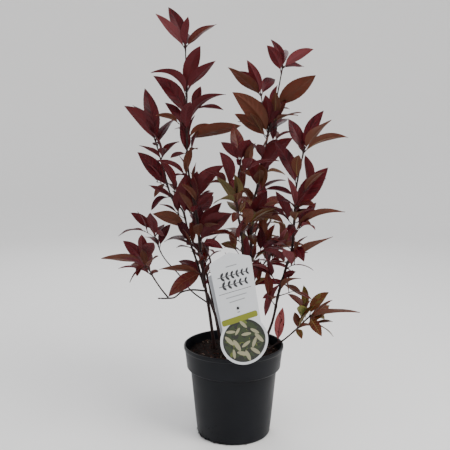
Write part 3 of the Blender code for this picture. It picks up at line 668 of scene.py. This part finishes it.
def make_pot():
    finish = mixed_material("pot_plastic_look", (0.0030, 0.0035, 0.0054), (0.0062, 0.0070, 0.0095),
                            0.40, 16, 900, 0.00012, 0.15)
    pot = add_piece("pot_shell", lathe(pot_profile(), POT_SIDES, POT_UNEVENNESS), [finish], CRISP, body=None)
    cutters = Bundle()
    for number in range(DRAIN_HOLES):
        middle = polar(DRAIN_RING_RADIUS, 2 * math.pi * (number + 0.5) / DRAIN_HOLES)
        path = [middle + Vector((0, 0, height)) for height in (-0.004, 0.006)]
        cutters.add(tube(path, lambda ring, angle: DRAIN_HOLE_RADIUS, 24))
    cutter = add_piece("drain_cutter", (cutters.corners, cutters.faces), [finish], CRISP, body=None)
    cut = pot.modifiers.new("drain_holes", "BOOLEAN")
    cut.operation = "DIFFERENCE"
    cut.solver = "EXACT"
    cut.object = cutter
    bpy.context.view_layer.update()
    done = pot.evaluated_get(bpy.context.evaluated_depsgraph_get())
    pot.data = bpy.data.meshes.new_from_object(done)
    pot.modifiers.clear()
    bpy.data.objects.remove(cutter, do_unlink=True)
    pot.data.set_sharp_from_angle(angle=math.radians(CRISP))
    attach(pot, "root")
    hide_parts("pot")


def soil_height(x, y):
    """The compost's surface: rough, and lower towards the wall."""
    edge = max(0.0, math.hypot(x, y) - SOIL_FLAT_RADIUS) / SOIL_FALL_WIDTH
    clods = noise.noise(Vector((x, y, 0.0)) * 90) * 0.0016
    crumbs = noise.noise(Vector((x, y, 0.3)) * 330) * 0.0011
    return SOIL_LEVEL - SOIL_FALL * edge ** 2 + (clods + crumbs)


def make_soil():
    finish = mixed_material("compost_look", (0.0045, 0.0025, 0.0020), (0.013, 0.0062, 0.0045),
                            0.86, 260, 1500, 0.0006, 0.1)
    edge_radius = pot_inner_radius(SOIL_LEVEL) - 0.0004
    rings = [ring_of(edge_radius * ring / SOIL_RINGS, 0.0, SOIL_SIDES) for ring in range(SOIL_RINGS + 1)]
    for ring in rings:
        for corner in ring:
            corner.z = soil_height(corner.x, corner.y)
    foot_heights = (BAND_FOOT, LEDGE_FOOT, 0.06, 0.004)
    rings += [ring_of(pot_inner_radius(height) - 0.0008, height, SOIL_SIDES) for height in foot_heights]
    rings.append(ring_of(0.0, foot_heights[-1], SOIL_SIDES))
    soil = add_piece("compost_body", skin(rings, True), [finish], ALL_SMOOTH)
    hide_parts("soil")
    rng = random.Random(21)
    make_grains(edge_radius, rng)
    make_fibres(edge_radius, rng)


def debris_material(name, colour, roughness=0.8, grain=2600, relief=0.0003):
    return plain_material(name, colour, roughness, grain, relief, specular=0.1)


def make_grains(edge_radius, rng):
    """Grains on the compost, and crumbs that cling to the pot's foot."""
    grains = Bundle()
    for _ in range(GRAIN_COUNT):
        reach = edge_radius * math.sqrt(rng.random()) * 0.985
        spot = polar(reach, rng.uniform(0, 2 * math.pi))
        size = 0.0005 + 0.0017 * rng.random() ** 3
        spot.z = soil_height(spot.x, spot.y) + size * 0.2
        grains.add(lump(spot, size, rng), rng.choice((0, 0, 0, 1, 1, 2)))
    for _ in range(CRUMB_COUNT):
        angles = [rng.uniform(*span) for span in CRUMB_SPANS]
        angle = math.radians(rng.choice(angles))
        height = 0.0022 + 0.060 * rng.random() ** 5
        reach = POT_BODY_FOOT_RADIUS + 0.0002 + BODY_SLOPE * height
        size = rng.uniform(0.0006, 0.0022) if height < 0.006 else rng.uniform(0.0003, 0.0009)
        grains.add(lump(polar(reach, angle, height), min(size, height * 0.9), rng))
    finishes = [debris_material("grain_dark", (0.0055, 0.0032, 0.0026)),
                debris_material("grain_brown", (0.016, 0.0080, 0.0050)),
                debris_material("grain_red", (0.060, 0.0170, 0.0110), 0.75)]
    grains.piece("compost_grains", finishes, ALL_SMOOTH)


def make_fibres(edge_radius, rng):
    """Bits of root and dead leaf that lie bent on the compost."""
    fibres = Bundle()
    for _ in range(FIBRE_COUNT):
        reach = edge_radius * math.sqrt(rng.random()) * 0.9
        middle = polar(reach, rng.uniform(0, 2 * math.pi))
        along = polar(1.0, rng.uniform(0, 2 * math.pi)) * rng.uniform(0.002, 0.008)
        path = []
        for step in range(6):
            point = middle + along * (step / 2.5 - 1)
            point += Vector((rng.uniform(-1, 1), rng.uniform(-1, 1), 0.0)) * 0.0005
            if point.xy.length > edge_radius * 0.97:
                point = point * (edge_radius * 0.97 / point.xy.length)
            point.z = soil_height(point.x, point.y) + 0.0011 + rng.uniform(0, 0.0006)
            path.append(point)
        thick = rng.uniform(0.00018, 0.00055)
        fibres.add(tube(path, lambda ring, angle: thick * (1.1 - 0.1 * ring), 5), rng.choice((0, 0, 1, 1, 2)))
    finishes = [debris_material("fibre_red", (0.075, 0.0160, 0.0120), 0.7, 2000, 0.0002),
                debris_material("fibre_brown", (0.030, 0.0130, 0.0080), 0.7, 2000, 0.0002),
                plain_material("fibre_straw", (0.260, 0.180, 0.110), 0.6, 2000, 0.0002)]
    fibres.piece("compost_fibres", finishes, ALL_SMOOTH)


# Tag

def tag_place(standoff, tilt, shift, height):
    """Where a sheet of the tag stands: at the front of the rim, turned, leaning and tilted."""
    touch = Vector((math.sin(TAG_TURN) * POT_LIP_RADIUS, -math.cos(TAG_TURN) * POT_LIP_RADIUS, POT_HEIGHT))
    turn = Matrix.Rotation(TAG_TURN, 4, "Z") @ Matrix.Rotation(-TAG_LEAN, 4, "X")
    offset = Vector((shift, standoff - TAG_THICKNESS - CAD_GAP, height - POT_HEIGHT))
    return Matrix.Translation(touch) @ turn @ Matrix.Translation(offset) @ Matrix.Rotation(-tilt, 4, "Y")


FRONT_PLACE = tag_place(0.0, TAG_TILT, 0.0, TAG_DISC_CENTRE_HEIGHT)
STAKE_PLACE = tag_place(STAKE_STANDOFF, STAKE_TILT, STAKE_SHIFT, STAKE_BOTTOM)


def rounded(corners, radii, steps=8):
    """An outline with its corners rounded; a radius of 0 leaves one sharp."""
    outline = []
    for index, (corner, radius) in enumerate(zip(corners, radii)):
        here = Vector(corner)
        if radius == 0:
            outline.append(tuple(here))
            continue
        before = (Vector(corners[index - 1]) - here).normalized()
        after = (Vector(corners[(index + 1) % len(corners)]) - here).normalized()
        half = before.angle(after) / 2
        start = here + before * (radius / math.tan(half))
        end = here + after * (radius / math.tan(half))
        middle = here + (before + after).normalized() * (radius / math.sin(half))
        for step in range(steps + 1):
            point = start.lerp(end, step / steps) - middle
            outline.append(tuple(middle + point.normalized() * radius))
    return outline


def tag_outline():
    """A panel with a peaked top that ends in a disc."""
    waist = math.sqrt(TAG_DISC_RADIUS ** 2 - TAG_WAIST_HALF_WIDTH ** 2)
    waist_angle = math.degrees(math.atan2(waist, TAG_WAIST_HALF_WIDTH))
    corners = [(TAG_WAIST_HALF_WIDTH, waist), (TAG_TOP_HALF_WIDTH, TAG_SHOULDER_HEIGHT),
               (0.0, TAG_PEAK_HEIGHT),
               (-TAG_TOP_HALF_WIDTH, TAG_SHOULDER_HEIGHT), (-TAG_WAIST_HALF_WIDTH, waist)]
    panel = rounded(corners, [0, TAG_CORNER, TAG_CORNER, TAG_CORNER, 0])
    disc = arc((0.0, 0.0), TAG_DISC_RADIUS, 180 - waist_angle, 360 + waist_angle, 64)
    return panel + disc[1:-1]


def stake_outline():
    """A plain strip with a pointed foot."""
    shoulder, top = STAKE_POINT - 0.006, STAKE_TOP - STAKE_BOTTOM
    corners = [(0.0, -0.012), (STAKE_HALF_WIDTH, shoulder), (STAKE_HALF_WIDTH, top),
               (-STAKE_HALF_WIDTH, top), (-STAKE_HALF_WIDTH, shoulder)]
    return rounded(corners, [0] + [TAG_CORNER] * 4)


def sheet_plate(outline, place, middle):
    """A flat plate whose edges are softened towards its middle."""
    soften = TAG_THICKNESS * 0.3
    steps = ((soften, 0.0), (0.0, soften), (0.0, TAG_THICKNESS - soften), (soften, TAG_THICKNESS))
    rings = []
    for inset, depth in steps:
        ring = []
        for point in outline:
            arm = Vector(point) - Vector(middle)
            shrunk = Vector(middle) + arm * (1 - inset / arm.length)
            ring.append(place @ Vector((shrunk.x, depth, shrunk.y)))
        rings.append(ring)
    return capped(rings, True)


def film(outline, layer=1):
    """A printed patch: a film that lies on the front of the tag, layer by layer."""
    depths = (-FILM_STANDOFF - layer * FILM_THICKNESS, FILM_ROOT)
    return capped([[FRONT_PLACE @ Vector((x, depth, z)) for x, z in outline] for depth in depths], True)


def slanted_bar(left, right, height):
    """A bar between two points with rounded ends."""
    start, end = Vector(left), Vector(right)
    along = (end - start).normalized() * height / 2
    up = Vector((-along.y, along.x))
    corners = [start - up, end - up, end + up, start + up]
    return rounded([tuple(corner) for corner in corners], [height * 0.3] * 4, 4)


def oval(centre, long_half, short_half, turn, points, pointed=0.0):
    outline = []
    for index in range(points):
        angle = 2 * math.pi * index / points
        narrow = 1 - pointed * abs(math.cos(angle)) ** 2
        x, z = long_half * math.cos(angle), short_half * narrow * math.sin(angle)
        outline.append((centre[0] + x * math.cos(turn) - z * math.sin(turn),
                        centre[1] + x * math.sin(turn) + z * math.cos(turn)))
    return outline


def sprig(ink, base, length, leaf_pairs):
    """A plain sprig of paired leaves, as a generic printed mark."""
    along = polar(1.0, SPRIG_HEADING).xy
    ink.add(film(slanted_bar(base, Vector(base) + along * length, 0.0012)))
    for pair in range(leaf_pairs):
        spot = Vector(base) + along * length * (pair + 0.6) / leaf_pairs
        size = 0.0045 - 0.0002 * pair
        for side in (-1, 1):
            lean = SPRIG_HEADING + side * 0.9
            middle = spot + polar(1.0, lean).xy * size
            ink.add(film(oval(middle, size, size * 0.48, lean, 16, 0.5)))


def make_tag_print():
    """Generic print in the colours and scale of a plant tag: sprigs, bars and a disc of ovals."""
    rng = random.Random(5)
    prints = {kind: Bundle() for kind in PRINT_COLOURS}
    sprig(prints["dark"], (-0.025, 0.1060), 0.050, 6)
    sprig(prints["dark"], (-0.025, 0.0915), 0.046, 5)
    for kind, left, right, height, layer in PRINT_BARS:
        prints[kind].add(film(slanted_bar(left, right, height), layer))
    field_radius = TAG_DISC_RADIUS - TAG_BORDER
    prints["deep"].add(film(oval((0.0, 0.0), field_radius, field_radius, 0.0, 72)))
    layer = 2.0
    for kind, count, long_size, short_share, pointed in PRINT_OVALS:
        for number in range(count):
            reach = field_radius * math.sqrt((number + 0.5) / count) * 0.95
            centre = polar(reach, 2.4 * number + len(kind)).xy
            size = long_size * rng.uniform(0.75, 1.3)
            room = field_radius - 0.0004 - size
            if centre.length > room:
                centre = centre * (room / centre.length)
            turn = rng.uniform(0, math.pi)
            prints[kind].add(film(oval(centre, size, size * short_share, turn, 14, pointed), layer))
            layer += 0.05
    for kind, bundle in prints.items():
        finish = plain_material("print_" + kind, PRINT_COLOURS[kind], 0.42, 1400, 0.00002)
        bundle.piece("tag_print_" + kind, [finish], 30)


def make_tag():
    white = plain_material("tag_white_look", (0.56, 0.575, 0.59), 0.36, 500, 0.00003)
    front = add_piece("tag_plate", sheet_plate(tag_outline(), FRONT_PLACE, (0.0, 0.05)), [white], CRISP)
    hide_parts("tag_front")
    # The stake is the tag's own white, painted darker as shade where it stands behind the tag.
    stake_painted_shade = plain_material("stake_white_painted_shade_look", (0.44, 0.45, 0.47), 0.40, 500, 0.00003)
    stake = add_piece("stake_plate", sheet_plate(stake_outline(), STAKE_PLACE, (0.0, 0.08)), [stake_painted_shade], CRISP)
    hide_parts("tag_stake")
    make_pin()
    make_tag_print()


def make_pin():
    """The round pin through the tag's punched hole, and the slit under it."""
    black = plain_material("pin_black_look", (0.012, 0.012, 0.013), 0.35, 900, 0.00003)
    head = [(0.0, -0.0020)] + arc((0.0, 0.0002), 0.0024, -60, -2, 5) + [(0.0016, 0.0010)]
    shank = [(0.0015, 0.002), (0.0015, 0.0108), (0.0, 0.0108)]
    middle = Matrix.Translation((-0.001, 0.0, TAG_PIN_HEIGHT)) @ Matrix.Rotation(math.radians(-90), 4, "X")
    corners, faces = lathe(head + shank, 24)
    parts = Bundle()
    parts.add(([FRONT_PLACE @ middle @ corner for corner in corners], faces))
    parts.add(film(slanted_bar((-0.0030, 0.0470), (0.0012, 0.0474), 0.0011), 4))
    pin = parts.piece("tag_pin_look", [black], CRISP)
    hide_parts("tag_pin")


# Canes

class Cane:
    """A cane's middle line, its radius along it, and where its leaves grow."""

    def __init__(self, name):
        points, foot, tip = CANES[name]
        self.name = name
        self.path = smooth_path(points, STEP_ALONG_CANE)
        self.in_soil = points[0][2] <= SOIL_LEVEL / MM
        self.walked = [0.0]
        for before, after in zip(self.path, self.path[1:]):
            self.walked.append(self.walked[-1] + (after - before).length)
        self.length = self.walked[-1]
        self.foot, self.tip = foot * MM, tip * MM
        self.nodes = []

    def radius(self, share):
        return self.foot + (self.tip - self.foot) * share

    def at(self, share):
        """Point and direction at a share of the cane's length."""
        wanted = share * self.length
        index = 0
        while index < len(self.path) - 2 and self.walked[index + 1] < wanted:
            index += 1
        step = self.path[index + 1] - self.path[index]
        part = (wanted - self.walked[index]) / step.length
        return self.path[index] + step * min(1.0, part), step.normalized()

    def bark_radius(self, share, point, angle):
        """The radius with swollen nodes, a flare at the compost, ridges, pores and a thin end."""
        along = share * self.length
        swelling = sum(math.exp(-((share - node) * self.length / NODE_SPREAD) ** 2) for node in self.nodes)
        flare = FOOT_FLARE * math.exp(-max(0.0, along) / FLARE_SPREAD) if self.in_soil else 0.0
        spot = Vector((math.cos(angle) * 2.2, math.sin(angle) * 2.2, along * 60))
        ridges = RIDGE_DEPTH * noise.noise(spot)
        pores = PORE_DEPTH * noise.noise(point * 900 + Vector((angle * 3, 0, 0)))
        ending = min(1.0, END_GIRTH + (1 - share) * self.length / END_TAPER)
        uneven = 1 + NODE_SWELLING * min(1.0, swelling) + flare + ridges + pores
        return self.radius(max(0.0, share)) * ending * uneven

    def build(self, finish):
        path = list(self.path)
        shares = [length / self.length for length in self.walked]
        if self.in_soil:
            path.insert(0, path[0] + (path[0] - path[1]).normalized() * FOOT_DEPTH)
            shares.insert(0, FOOT_SHARE)
        bark = tube(path, lambda ring, angle: self.bark_radius(shares[ring], path[ring], angle), CANE_SIDES)
        piece = add_piece(self.name + "_bark", bark, [finish], ALL_SMOOTH)
        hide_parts(self.name)


# Leaves

def blade_half_width(share):
    """Half width of a leaf along its length, as a share of its greatest half width."""
    if share <= 0 or share >= 1:
        return 0.0
    widest = BLADE_BASE_POWER / (BLADE_BASE_POWER + BLADE_TIP_POWER)
    return (share / widest) ** BLADE_BASE_POWER * ((1 - share) / (1 - widest)) ** BLADE_TIP_POWER


def blade_rows():
    """Places along the midrib of the rows of a blade, and whether a strip before it is a vein."""
    rows = [(0.0, False)]
    gap = 1 / (VEIN_PAIRS + 0.9)
    for vein in range(VEIN_PAIRS):
        here = (vein + 0.75) * gap
        rows += [(here - VEIN_HALF_WIDTH, False), (here + VEIN_HALF_WIDTH, True),
                 (here + gap * 0.36, False), (here + gap * 0.68, False)]
    return rows + [(0.975, False), (1.0, False)]


ROWS = blade_rows()


def blade_shell():
    """The faces of a closed blade, each with the part that it shows, its column and its row."""
    columns = len(COLUMNS)
    count = columns * len(ROWS)
    shell = []
    for row in range(len(ROWS) - 1):
        for column in range(columns - 1):
            low = row * columns + column
            high = low + columns
            on_midrib = column == columns // 2 - 1
            on_vein = on_midrib or (ROWS[row + 1][1] and 1 <= column <= columns - 3)
            shell.append(((low, low + 1, high + 1, high), "vein" if on_vein else "blotched", column, row))
            under = (count + low + 1, count + low, count + high, count + high + 1)
            shell.append((under, "vein" if on_midrib else "under", column, row))
        for edge in (0, columns - 1):
            low = row * columns + edge
            high = low + columns
            rim = (low, high, count + high, count + low)
            shell.append((rim if edge == 0 else rim[::-1], "face", edge, row))
    for row in (0, len(ROWS) - 1):
        for column in range(columns - 1):
            low = row * columns + column
            end = (low, count + low, count + low + 1, low + 1)
            shell.append((end if row == 0 else end[::-1], "vein", column, row))
    return shell


SHELL = blade_shell()
SHELL_FACES = [face for face, *_ in SHELL]


def centre_line(base, tip, bow, sideways, steps):
    """A bent line from base to tip: bow lifts its middle, as a share of its length."""
    chord = tip - base
    length = chord.length
    across = chord.cross(Vector((0, 0, 1)))
    if across.length < 1e-6:
        across = Vector((1, 0, 0))
    up = across.cross(chord).normalized()
    middle = base.lerp(tip, 0.48) + up * (2 * bow * length) + across.normalized() * sideways * length
    line = []
    for step in range(steps + 1):
        t = step / steps
        line.append(base * (1 - t) ** 2 + middle * 2 * t * (1 - t) + tip * t ** 2)
    return line


def natural_side(along):
    """The level direction square to a leaf or a cane."""
    side = along.cross(Vector((0, 0, 1)))
    if side.length < 0.05:
        side = Vector((1, 0, 0)) - along * along.x
    return side.normalized()


def roll_for(along, seen_share):
    """How far the leaf turns on its axis, from its natural lie, to look that wide from the front."""
    side = natural_side(along)
    normal = side.cross(along)
    flat = Vector((-along.z, 0.0, along.x))
    if flat.length < 0.05:
        return 0.0
    flat.normalize()
    best = math.atan2(-normal.dot(flat), side.dot(flat))
    off = math.acos(seen_share)
    choices = [best + sign * off + half * math.pi for sign in (-1, 1) for half in (-2, -1, 0, 1, 2)]
    return min(choices, key=abs)


def leaf_bundle(bundles, tone):
    """The piece that takes the next leaf of a tone; a full piece is followed by a new one."""
    name = next(piece for piece, (_, tones) in LEAF_PIECES.items() if tone in tones)
    if len(bundles[name][-1].faces) > LEAF_PIECE_FACES:
        bundles[name].append(Bundle())
    return bundles[name][-1]


def make_leaf(bundles, base, tip, width, bow, seen, tone, petiole=PETIOLE_LENGTH):
    """One leaf: a petiole and a blade with a sunk midrib, side veins and fine teeth."""
    along = (tip - base).normalized()
    natural = natural_side(along)
    line = centre_line(base, tip, bow, picker.uniform(*LEAF_SIDEWAYS), LEAF_LINE_STEPS)
    roll = picker.uniform(*LEAF_FREE_ROLL) if seen is None else roll_for(along, seen)
    limits = (LEAF_TWIST, LEAF_FOLD, LEAF_CUP, LEAF_WAVE)
    twist, fold, cup, wave = [picker.uniform(*pair) for pair in limits]
    phase = picker.uniform(0, 6.28)
    start = min(LONGEST_PETIOLE_SHARE, petiole / (tip - base).length)
    half_width = width / 2

    def frame_at(share):
        spot = max(0.0, min(1.0, share)) * (len(line) - 1)
        index = min(len(line) - 2, int(spot))
        forward = (line[index + 1] - line[index]).normalized()
        side = (natural - forward * natural.dot(forward)).normalized()
        side = Matrix.Rotation(roll + twist * (share - 0.4), 3, forward) @ side
        return line[index].lerp(line[index + 1], spot - index), side, side.cross(forward)

    tops, unders = [], []
    for number, (here, _) in enumerate(ROWS):
        margin = min(1.0, here + MARGIN_SHIFT * 4 * here * (1 - here) * (1.25 - 0.5 * here))
        tooth = 1 - TOOTH_DEPTH * (number % 2)
        vein_row = number % 4 in (1, 2) and 0 < number < len(ROWS) - 2
        for column in COLUMNS:
            out = abs(column)
            on_midrib = out == MIDRIB_COLUMN
            share = here + (margin - here) * out ** 1.15
            reach = half_width * blade_half_width(margin) * out
            if out == 1.0:
                reach *= tooth
            if number == 0:
                reach = PETIOLE_RADIUS * 0.8 * out
            if on_midrib:
                reach = min(0.0006, half_width * 0.07) * (1.1 - here)
            half = 1 if column > 0 else -1
            tilt = fold * (1.15 - 0.6 * share)
            lift = reach * math.sin(tilt) - cup * reach * reach / half_width * 0.25
            lift += wave * half_width * math.sin(9 * share + phase + half) * out ** 2
            if on_midrib:
                lift -= MIDRIB_SINK
            else:
                quilt = QUILT_HEIGHT * (1 - out ** 4)
                lift += -quilt if vein_row else quilt
            point, side, normal = frame_at(start + (1 - start) * share)
            surface = point + side * half * reach * math.cos(tilt) + normal * lift
            rib = MIDRIB_HEIGHT * (1.1 - here) if on_midrib else 0.0
            tops.append(surface)
            unders.append(surface - normal * (LEAF_THICKNESS + rib))
    leaf_bundle(bundles, tone).add((tops + unders, SHELL_FACES), leaf_kinds(tone))
    stalk = [frame_at(start * step / 4)[0] for step in range(5)]
    stalk.append(frame_at(start + 0.03)[0])
    stalk_tube = tube(stalk, lambda ring, angle: PETIOLE_RADIUS * (1.5 - 0.16 * ring), TWIG_SIDES)
    bundles["stalks"].add(stalk_tube, int(tone in GREEN_STALKED))


def leaf_kinds(tone):
    """The material number of each face of a blade, with blotches by a pattern of its own."""
    face, blotch, vein, under = [COLOUR_ORDER.index(kind) for kind in TONES[tone]]
    kinds = {"vein": vein, "under": under, "face": face}
    mottle = Vector((picker.uniform(0, 9), picker.uniform(0, 9), 0.0))
    limit = BLOTCH_LIMITS.get(tone, PLAIN_BLOTCH_LIMIT)
    numbers = []
    for _, part, column, row in SHELL:
        if part == "blotched":
            spot = mottle + Vector((column * MOTTLE_STEP[0], row * MOTTLE_STEP[1], 0.0))
            part_kind = blotch if noise.noise(spot) > limit else face
        else:
            part_kind = kinds[part]
        numbers.append(part_kind)
    return numbers


def make_bud(bundles, base, direction, size):
    path = [base + direction * size * step for step in (-0.3, 0.1, 0.5, 0.9, 1.2, 1.4)]
    girths = (0.30, 0.42, 0.44, 0.32, 0.17, 0.04)
    bundles["buds"].add(tube(path, lambda ring, angle: girths[ring] * size, TWIG_SIDES))


def outward(cane_direction, angle):
    """A unit vector square to a cane, turned round it by an angle."""
    return Matrix.Rotation(angle, 3, cane_direction) @ natural_side(cane_direction)


def leaf_root(cane, tip, reach):
    """The share of the cane from which a leaf to that tip has a usual length and slope."""
    rise = reach.z / reach.length
    wanted_angle = HANGING_ANGLE
    if rise > 0.5:
        wanted_angle = RISING_ANGLE
    elif rise > -0.1:
        wanted_angle = LEVEL_ANGLE
    shortest, longest = MAIN_LEAF_LENGTH
    wanted_length = min(longest, max(shortest, reach.length * LENGTH_BEYOND_REACH))
    costs = []
    for index in range(1, len(cane.path) - 1):
        point = cane.path[index]
        if point.z > LOWEST_LEAF:
            chord = tip - point
            off_angle = chord.angle(cane.path[index + 1] - point) - wanted_angle
            off_length = chord.length - wanted_length
            cost = (off_angle / ANGLE_EASE) ** 2 + (off_length / LENGTH_EASE) ** 2
            costs.append((cost, cane.walked[index] / cane.length))
    return min(costs)[1]


def grow_main_leaf(cane, tip, reach, facing, tone, bundles):
    """A leaf with a bud in its corner, from the cane to a given tip."""
    share = leaf_root(cane, tip, reach)
    root, direction = cane.at(share)
    chord = tip - root
    away = (chord - direction * chord.dot(direction)).normalized()
    base = root + away * cane.radius(share) * 0.8
    narrowest, widest = LEAF_WIDTH_LIMITS
    width = LEAF_SHAPE_RATIO * (tip - base).length * picker.uniform(*LEAF_WIDTH_SPREAD)
    width = min(widest, max(narrowest, width))
    bow = BOW_OF_ARCH if facing == "arch" else picker.uniform(*USUAL_BOW)
    make_leaf(bundles, base, tip, width, bow, SEEN_SHARES[facing], tone)
    cane.nodes.append(share)
    make_bud(bundles, base + direction * 0.0018, (away + direction * 1.6).normalized(), BUD_LENGTH)


def grow_main_leaves(cane, bundles):
    for owner, middle, group in LEAF_GROUPS.values():
        if owner == cane.name:
            for right, back, up, *look in group:
                reach = Vector((right, back, up)) * MM
                facing, tone = look or USUAL_LOOK
                grow_main_leaf(cane, Vector(middle) * MM + reach, reach, facing, tone, bundles)


def grow_shoot(cane, share, angle, tones, bundles):
    """A short side shoot with a few small leaves in a spiral and a bud at its end."""
    root, direction = cane.at(share)
    away = outward(direction, angle)
    rise = (away * picker.uniform(0.7, 1.1) + direction * picker.uniform(0.5, 1.0)).normalized()
    length = picker.uniform(*SHOOT_LENGTH)
    bend = Vector((picker.uniform(-1, 1), picker.uniform(-1, 1), picker.uniform(0, 1))) * length * 0.18
    path = []
    for step in range(7):
        t = step / 6
        path.append(root + rise * length * t + bend * 4 * t * (1 - t) * 0.5)
    size = cane.radius(share) * TWIG_GIRTH
    twig = tube(path, lambda ring, angle: max(THINNEST_TWIG, size * (1.15 - 0.1 * ring)), TWIG_SIDES)
    bundles["twigs"].add(twig)
    count = picker.randint(2, 4)
    for number in range(count):
        t = 0.45 + 0.55 * (number + 1) / count
        spot = path[min(6, round(6 * t))]
        heading = outward(rise, angle + SHOOT_TURN * (number + 1)) * 0.8 + rise * picker.uniform(0.4, 1.1)
        heading.z += 0.25
        leaf_length = picker.uniform(*SHOOT_LEAF_LENGTH)
        tip = spot + heading.normalized() * leaf_length
        tone = picker.choice(tones)
        width = leaf_length * picker.uniform(*SHOOT_LEAF_RATIO)
        bow = picker.uniform(*SHOOT_LEAF_BOW)
        make_leaf(bundles, spot, tip, width, bow, None, tone, SHOOT_PETIOLE_LENGTH)
    make_bud(bundles, path[-1], rise, BUD_LENGTH)
    cane.nodes.append(share)


def grow_canes(bundles, bark):
    for name in CANES:
        cane = Cane(name)
        grow_main_leaves(cane, bundles)
        count, low, high, tones = SHOOTS.get(name, (0, 0, 0, ()))
        for number in range(count):
            share = low + (high - low) * (number + picker.uniform(0.2, 0.8)) / count
            grow_shoot(cane, share, SHOOT_TURN * number + picker.uniform(-0.5, 0.5), tones, bundles)
        if name != "tall_left_prop":
            make_bud(bundles, *cane.at(1.0), 0.003)
        cane.build(bark)


def make_plant():
    bark = mixed_material("bark_look", (0.0100, 0.0045, 0.0044), (0.030, 0.0115, 0.0092), 0.55, 140, 1600,
                          0.00025, 0.2)
    shoot_bark = plain_material("twig_look", (0.034, 0.0085, 0.0085), 0.5, 1600, 0.0002, specular=0.2)
    green_stalk = plain_material("green_stalk_look", (0.140, 0.105, 0.035), 0.5, 1600, 0.0002, specular=0.2)
    leaf_finishes = []
    for kind, colour in LEAF_COLOURS.items():
        matt = 0.52 if kind.endswith("under") else 0.40
        leaf_finishes.append(plain_material("leaf_" + kind, colour, matt, 700, 0.00025, 0.12, 0.13))
    bundles = {name: [Bundle()] for name in LEAF_PIECES}
    for kind in ("stalks", "buds", "twigs"):
        bundles[kind] = Bundle()
    grow_canes(bundles, bark)
    replaced = {}
    for row in frame["record"]["subparts"]:
        if row["node"].endswith("_leaves"):
            replaced.setdefault(row["material_slot"], []).append(row["node"])
    for name, (slot, _) in LEAF_PIECES.items():
        for number, bundle in enumerate(bundles[name]):
            piece = bundle.piece(f"{name}_{number + 1}", leaf_finishes, 60)
            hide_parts(*replaced[slot])
    bundles["stalks"].piece("leaf_stalks", [shoot_bark, green_stalk], ALL_SMOOTH)
    bundles["buds"].piece("buds", [shoot_bark], ALL_SMOOTH)
    bundles["twigs"].piece("side_twigs", [shoot_bark], ALL_SMOOTH)


# Stage, lights and camera

def make_stage():
    """A pale floor that rises as a soft bowl all round, so every view has the same ground."""
    profile = [(radius, 0.0) for radius in (0.0, 0.5, 1.0, 1.6, FLOOR_RADIUS)]
    profile += arc((FLOOR_RADIUS, BOWL_ROUND), BOWL_ROUND, -84, 0, 14)
    profile += [(FLOOR_RADIUS + BOWL_ROUND, height) for height in (1.6, 2.6)]
    shape = skin([ring_of(radius, height, FLOOR_SIDES) for radius, height in profile], True)
    pale = plain_material("pale_floor_look", (0.87, 0.86, 0.845), 0.75, 40, 0.0006)
    floor = add_piece("floor", shape, [pale], ALL_SMOOTH, body=None)


def add_light(name, place, target, size, power, colour):
    lamp = bpy.data.lights.new(name, "AREA")
    lamp.shape = "DISK"
    lamp.size = size
    lamp.energy = power
    lamp.color = colour
    item = bpy.data.objects.new(name, lamp)
    item.location = place
    item.rotation_mode = "QUATERNION"
    item.rotation_quaternion = (Vector(target) - Vector(place)).to_track_quat("-Z", "Y")
    item.visible_camera = False
    bpy.context.scene.collection.objects.link(item)


def make_lights():
    add_light("key", (1.1, -0.8, 1.7), (0.0, 0.05, 0.35), 1.1, 34, (1.0, 0.985, 0.96))
    add_light("fill", (-1.3, -1.2, 1.1), (0.0, 0.0, 0.35), 1.4, 6, (0.93, 0.96, 1.0))
    add_light("back", (-0.4, 1.5, 1.6), (0.0, 0.0, 0.40), 1.2, 14, (0.97, 0.98, 1.0))
    world = bpy.data.worlds.new("studio")
    world.use_nodes = True
    bpy.context.scene.world = world
    background = world.node_tree.nodes["Background"]
    background.inputs["Color"].default_value = (0.93, 0.95, 1.0, 1.0)
    background.inputs["Strength"].default_value = 0.9


def make_camera():
    lens = bpy.data.cameras.new("camera")
    lens.lens = CAMERA_LENS
    lens.sensor_width = 36.0
    lens.clip_start = 0.05
    lens.clip_end = 20.0
    camera = bpy.data.objects.new("camera", lens)
    camera.location = CAMERA_PLACE
    camera.rotation_euler = (math.radians(90) - CAMERA_PITCH, 0.0, 0.0)
    bpy.context.scene.collection.objects.link(camera)
    bpy.context.scene.camera = camera


make_camera()
make_stage()
make_lights()
make_pot()
make_soil()
make_tag()
make_plant()
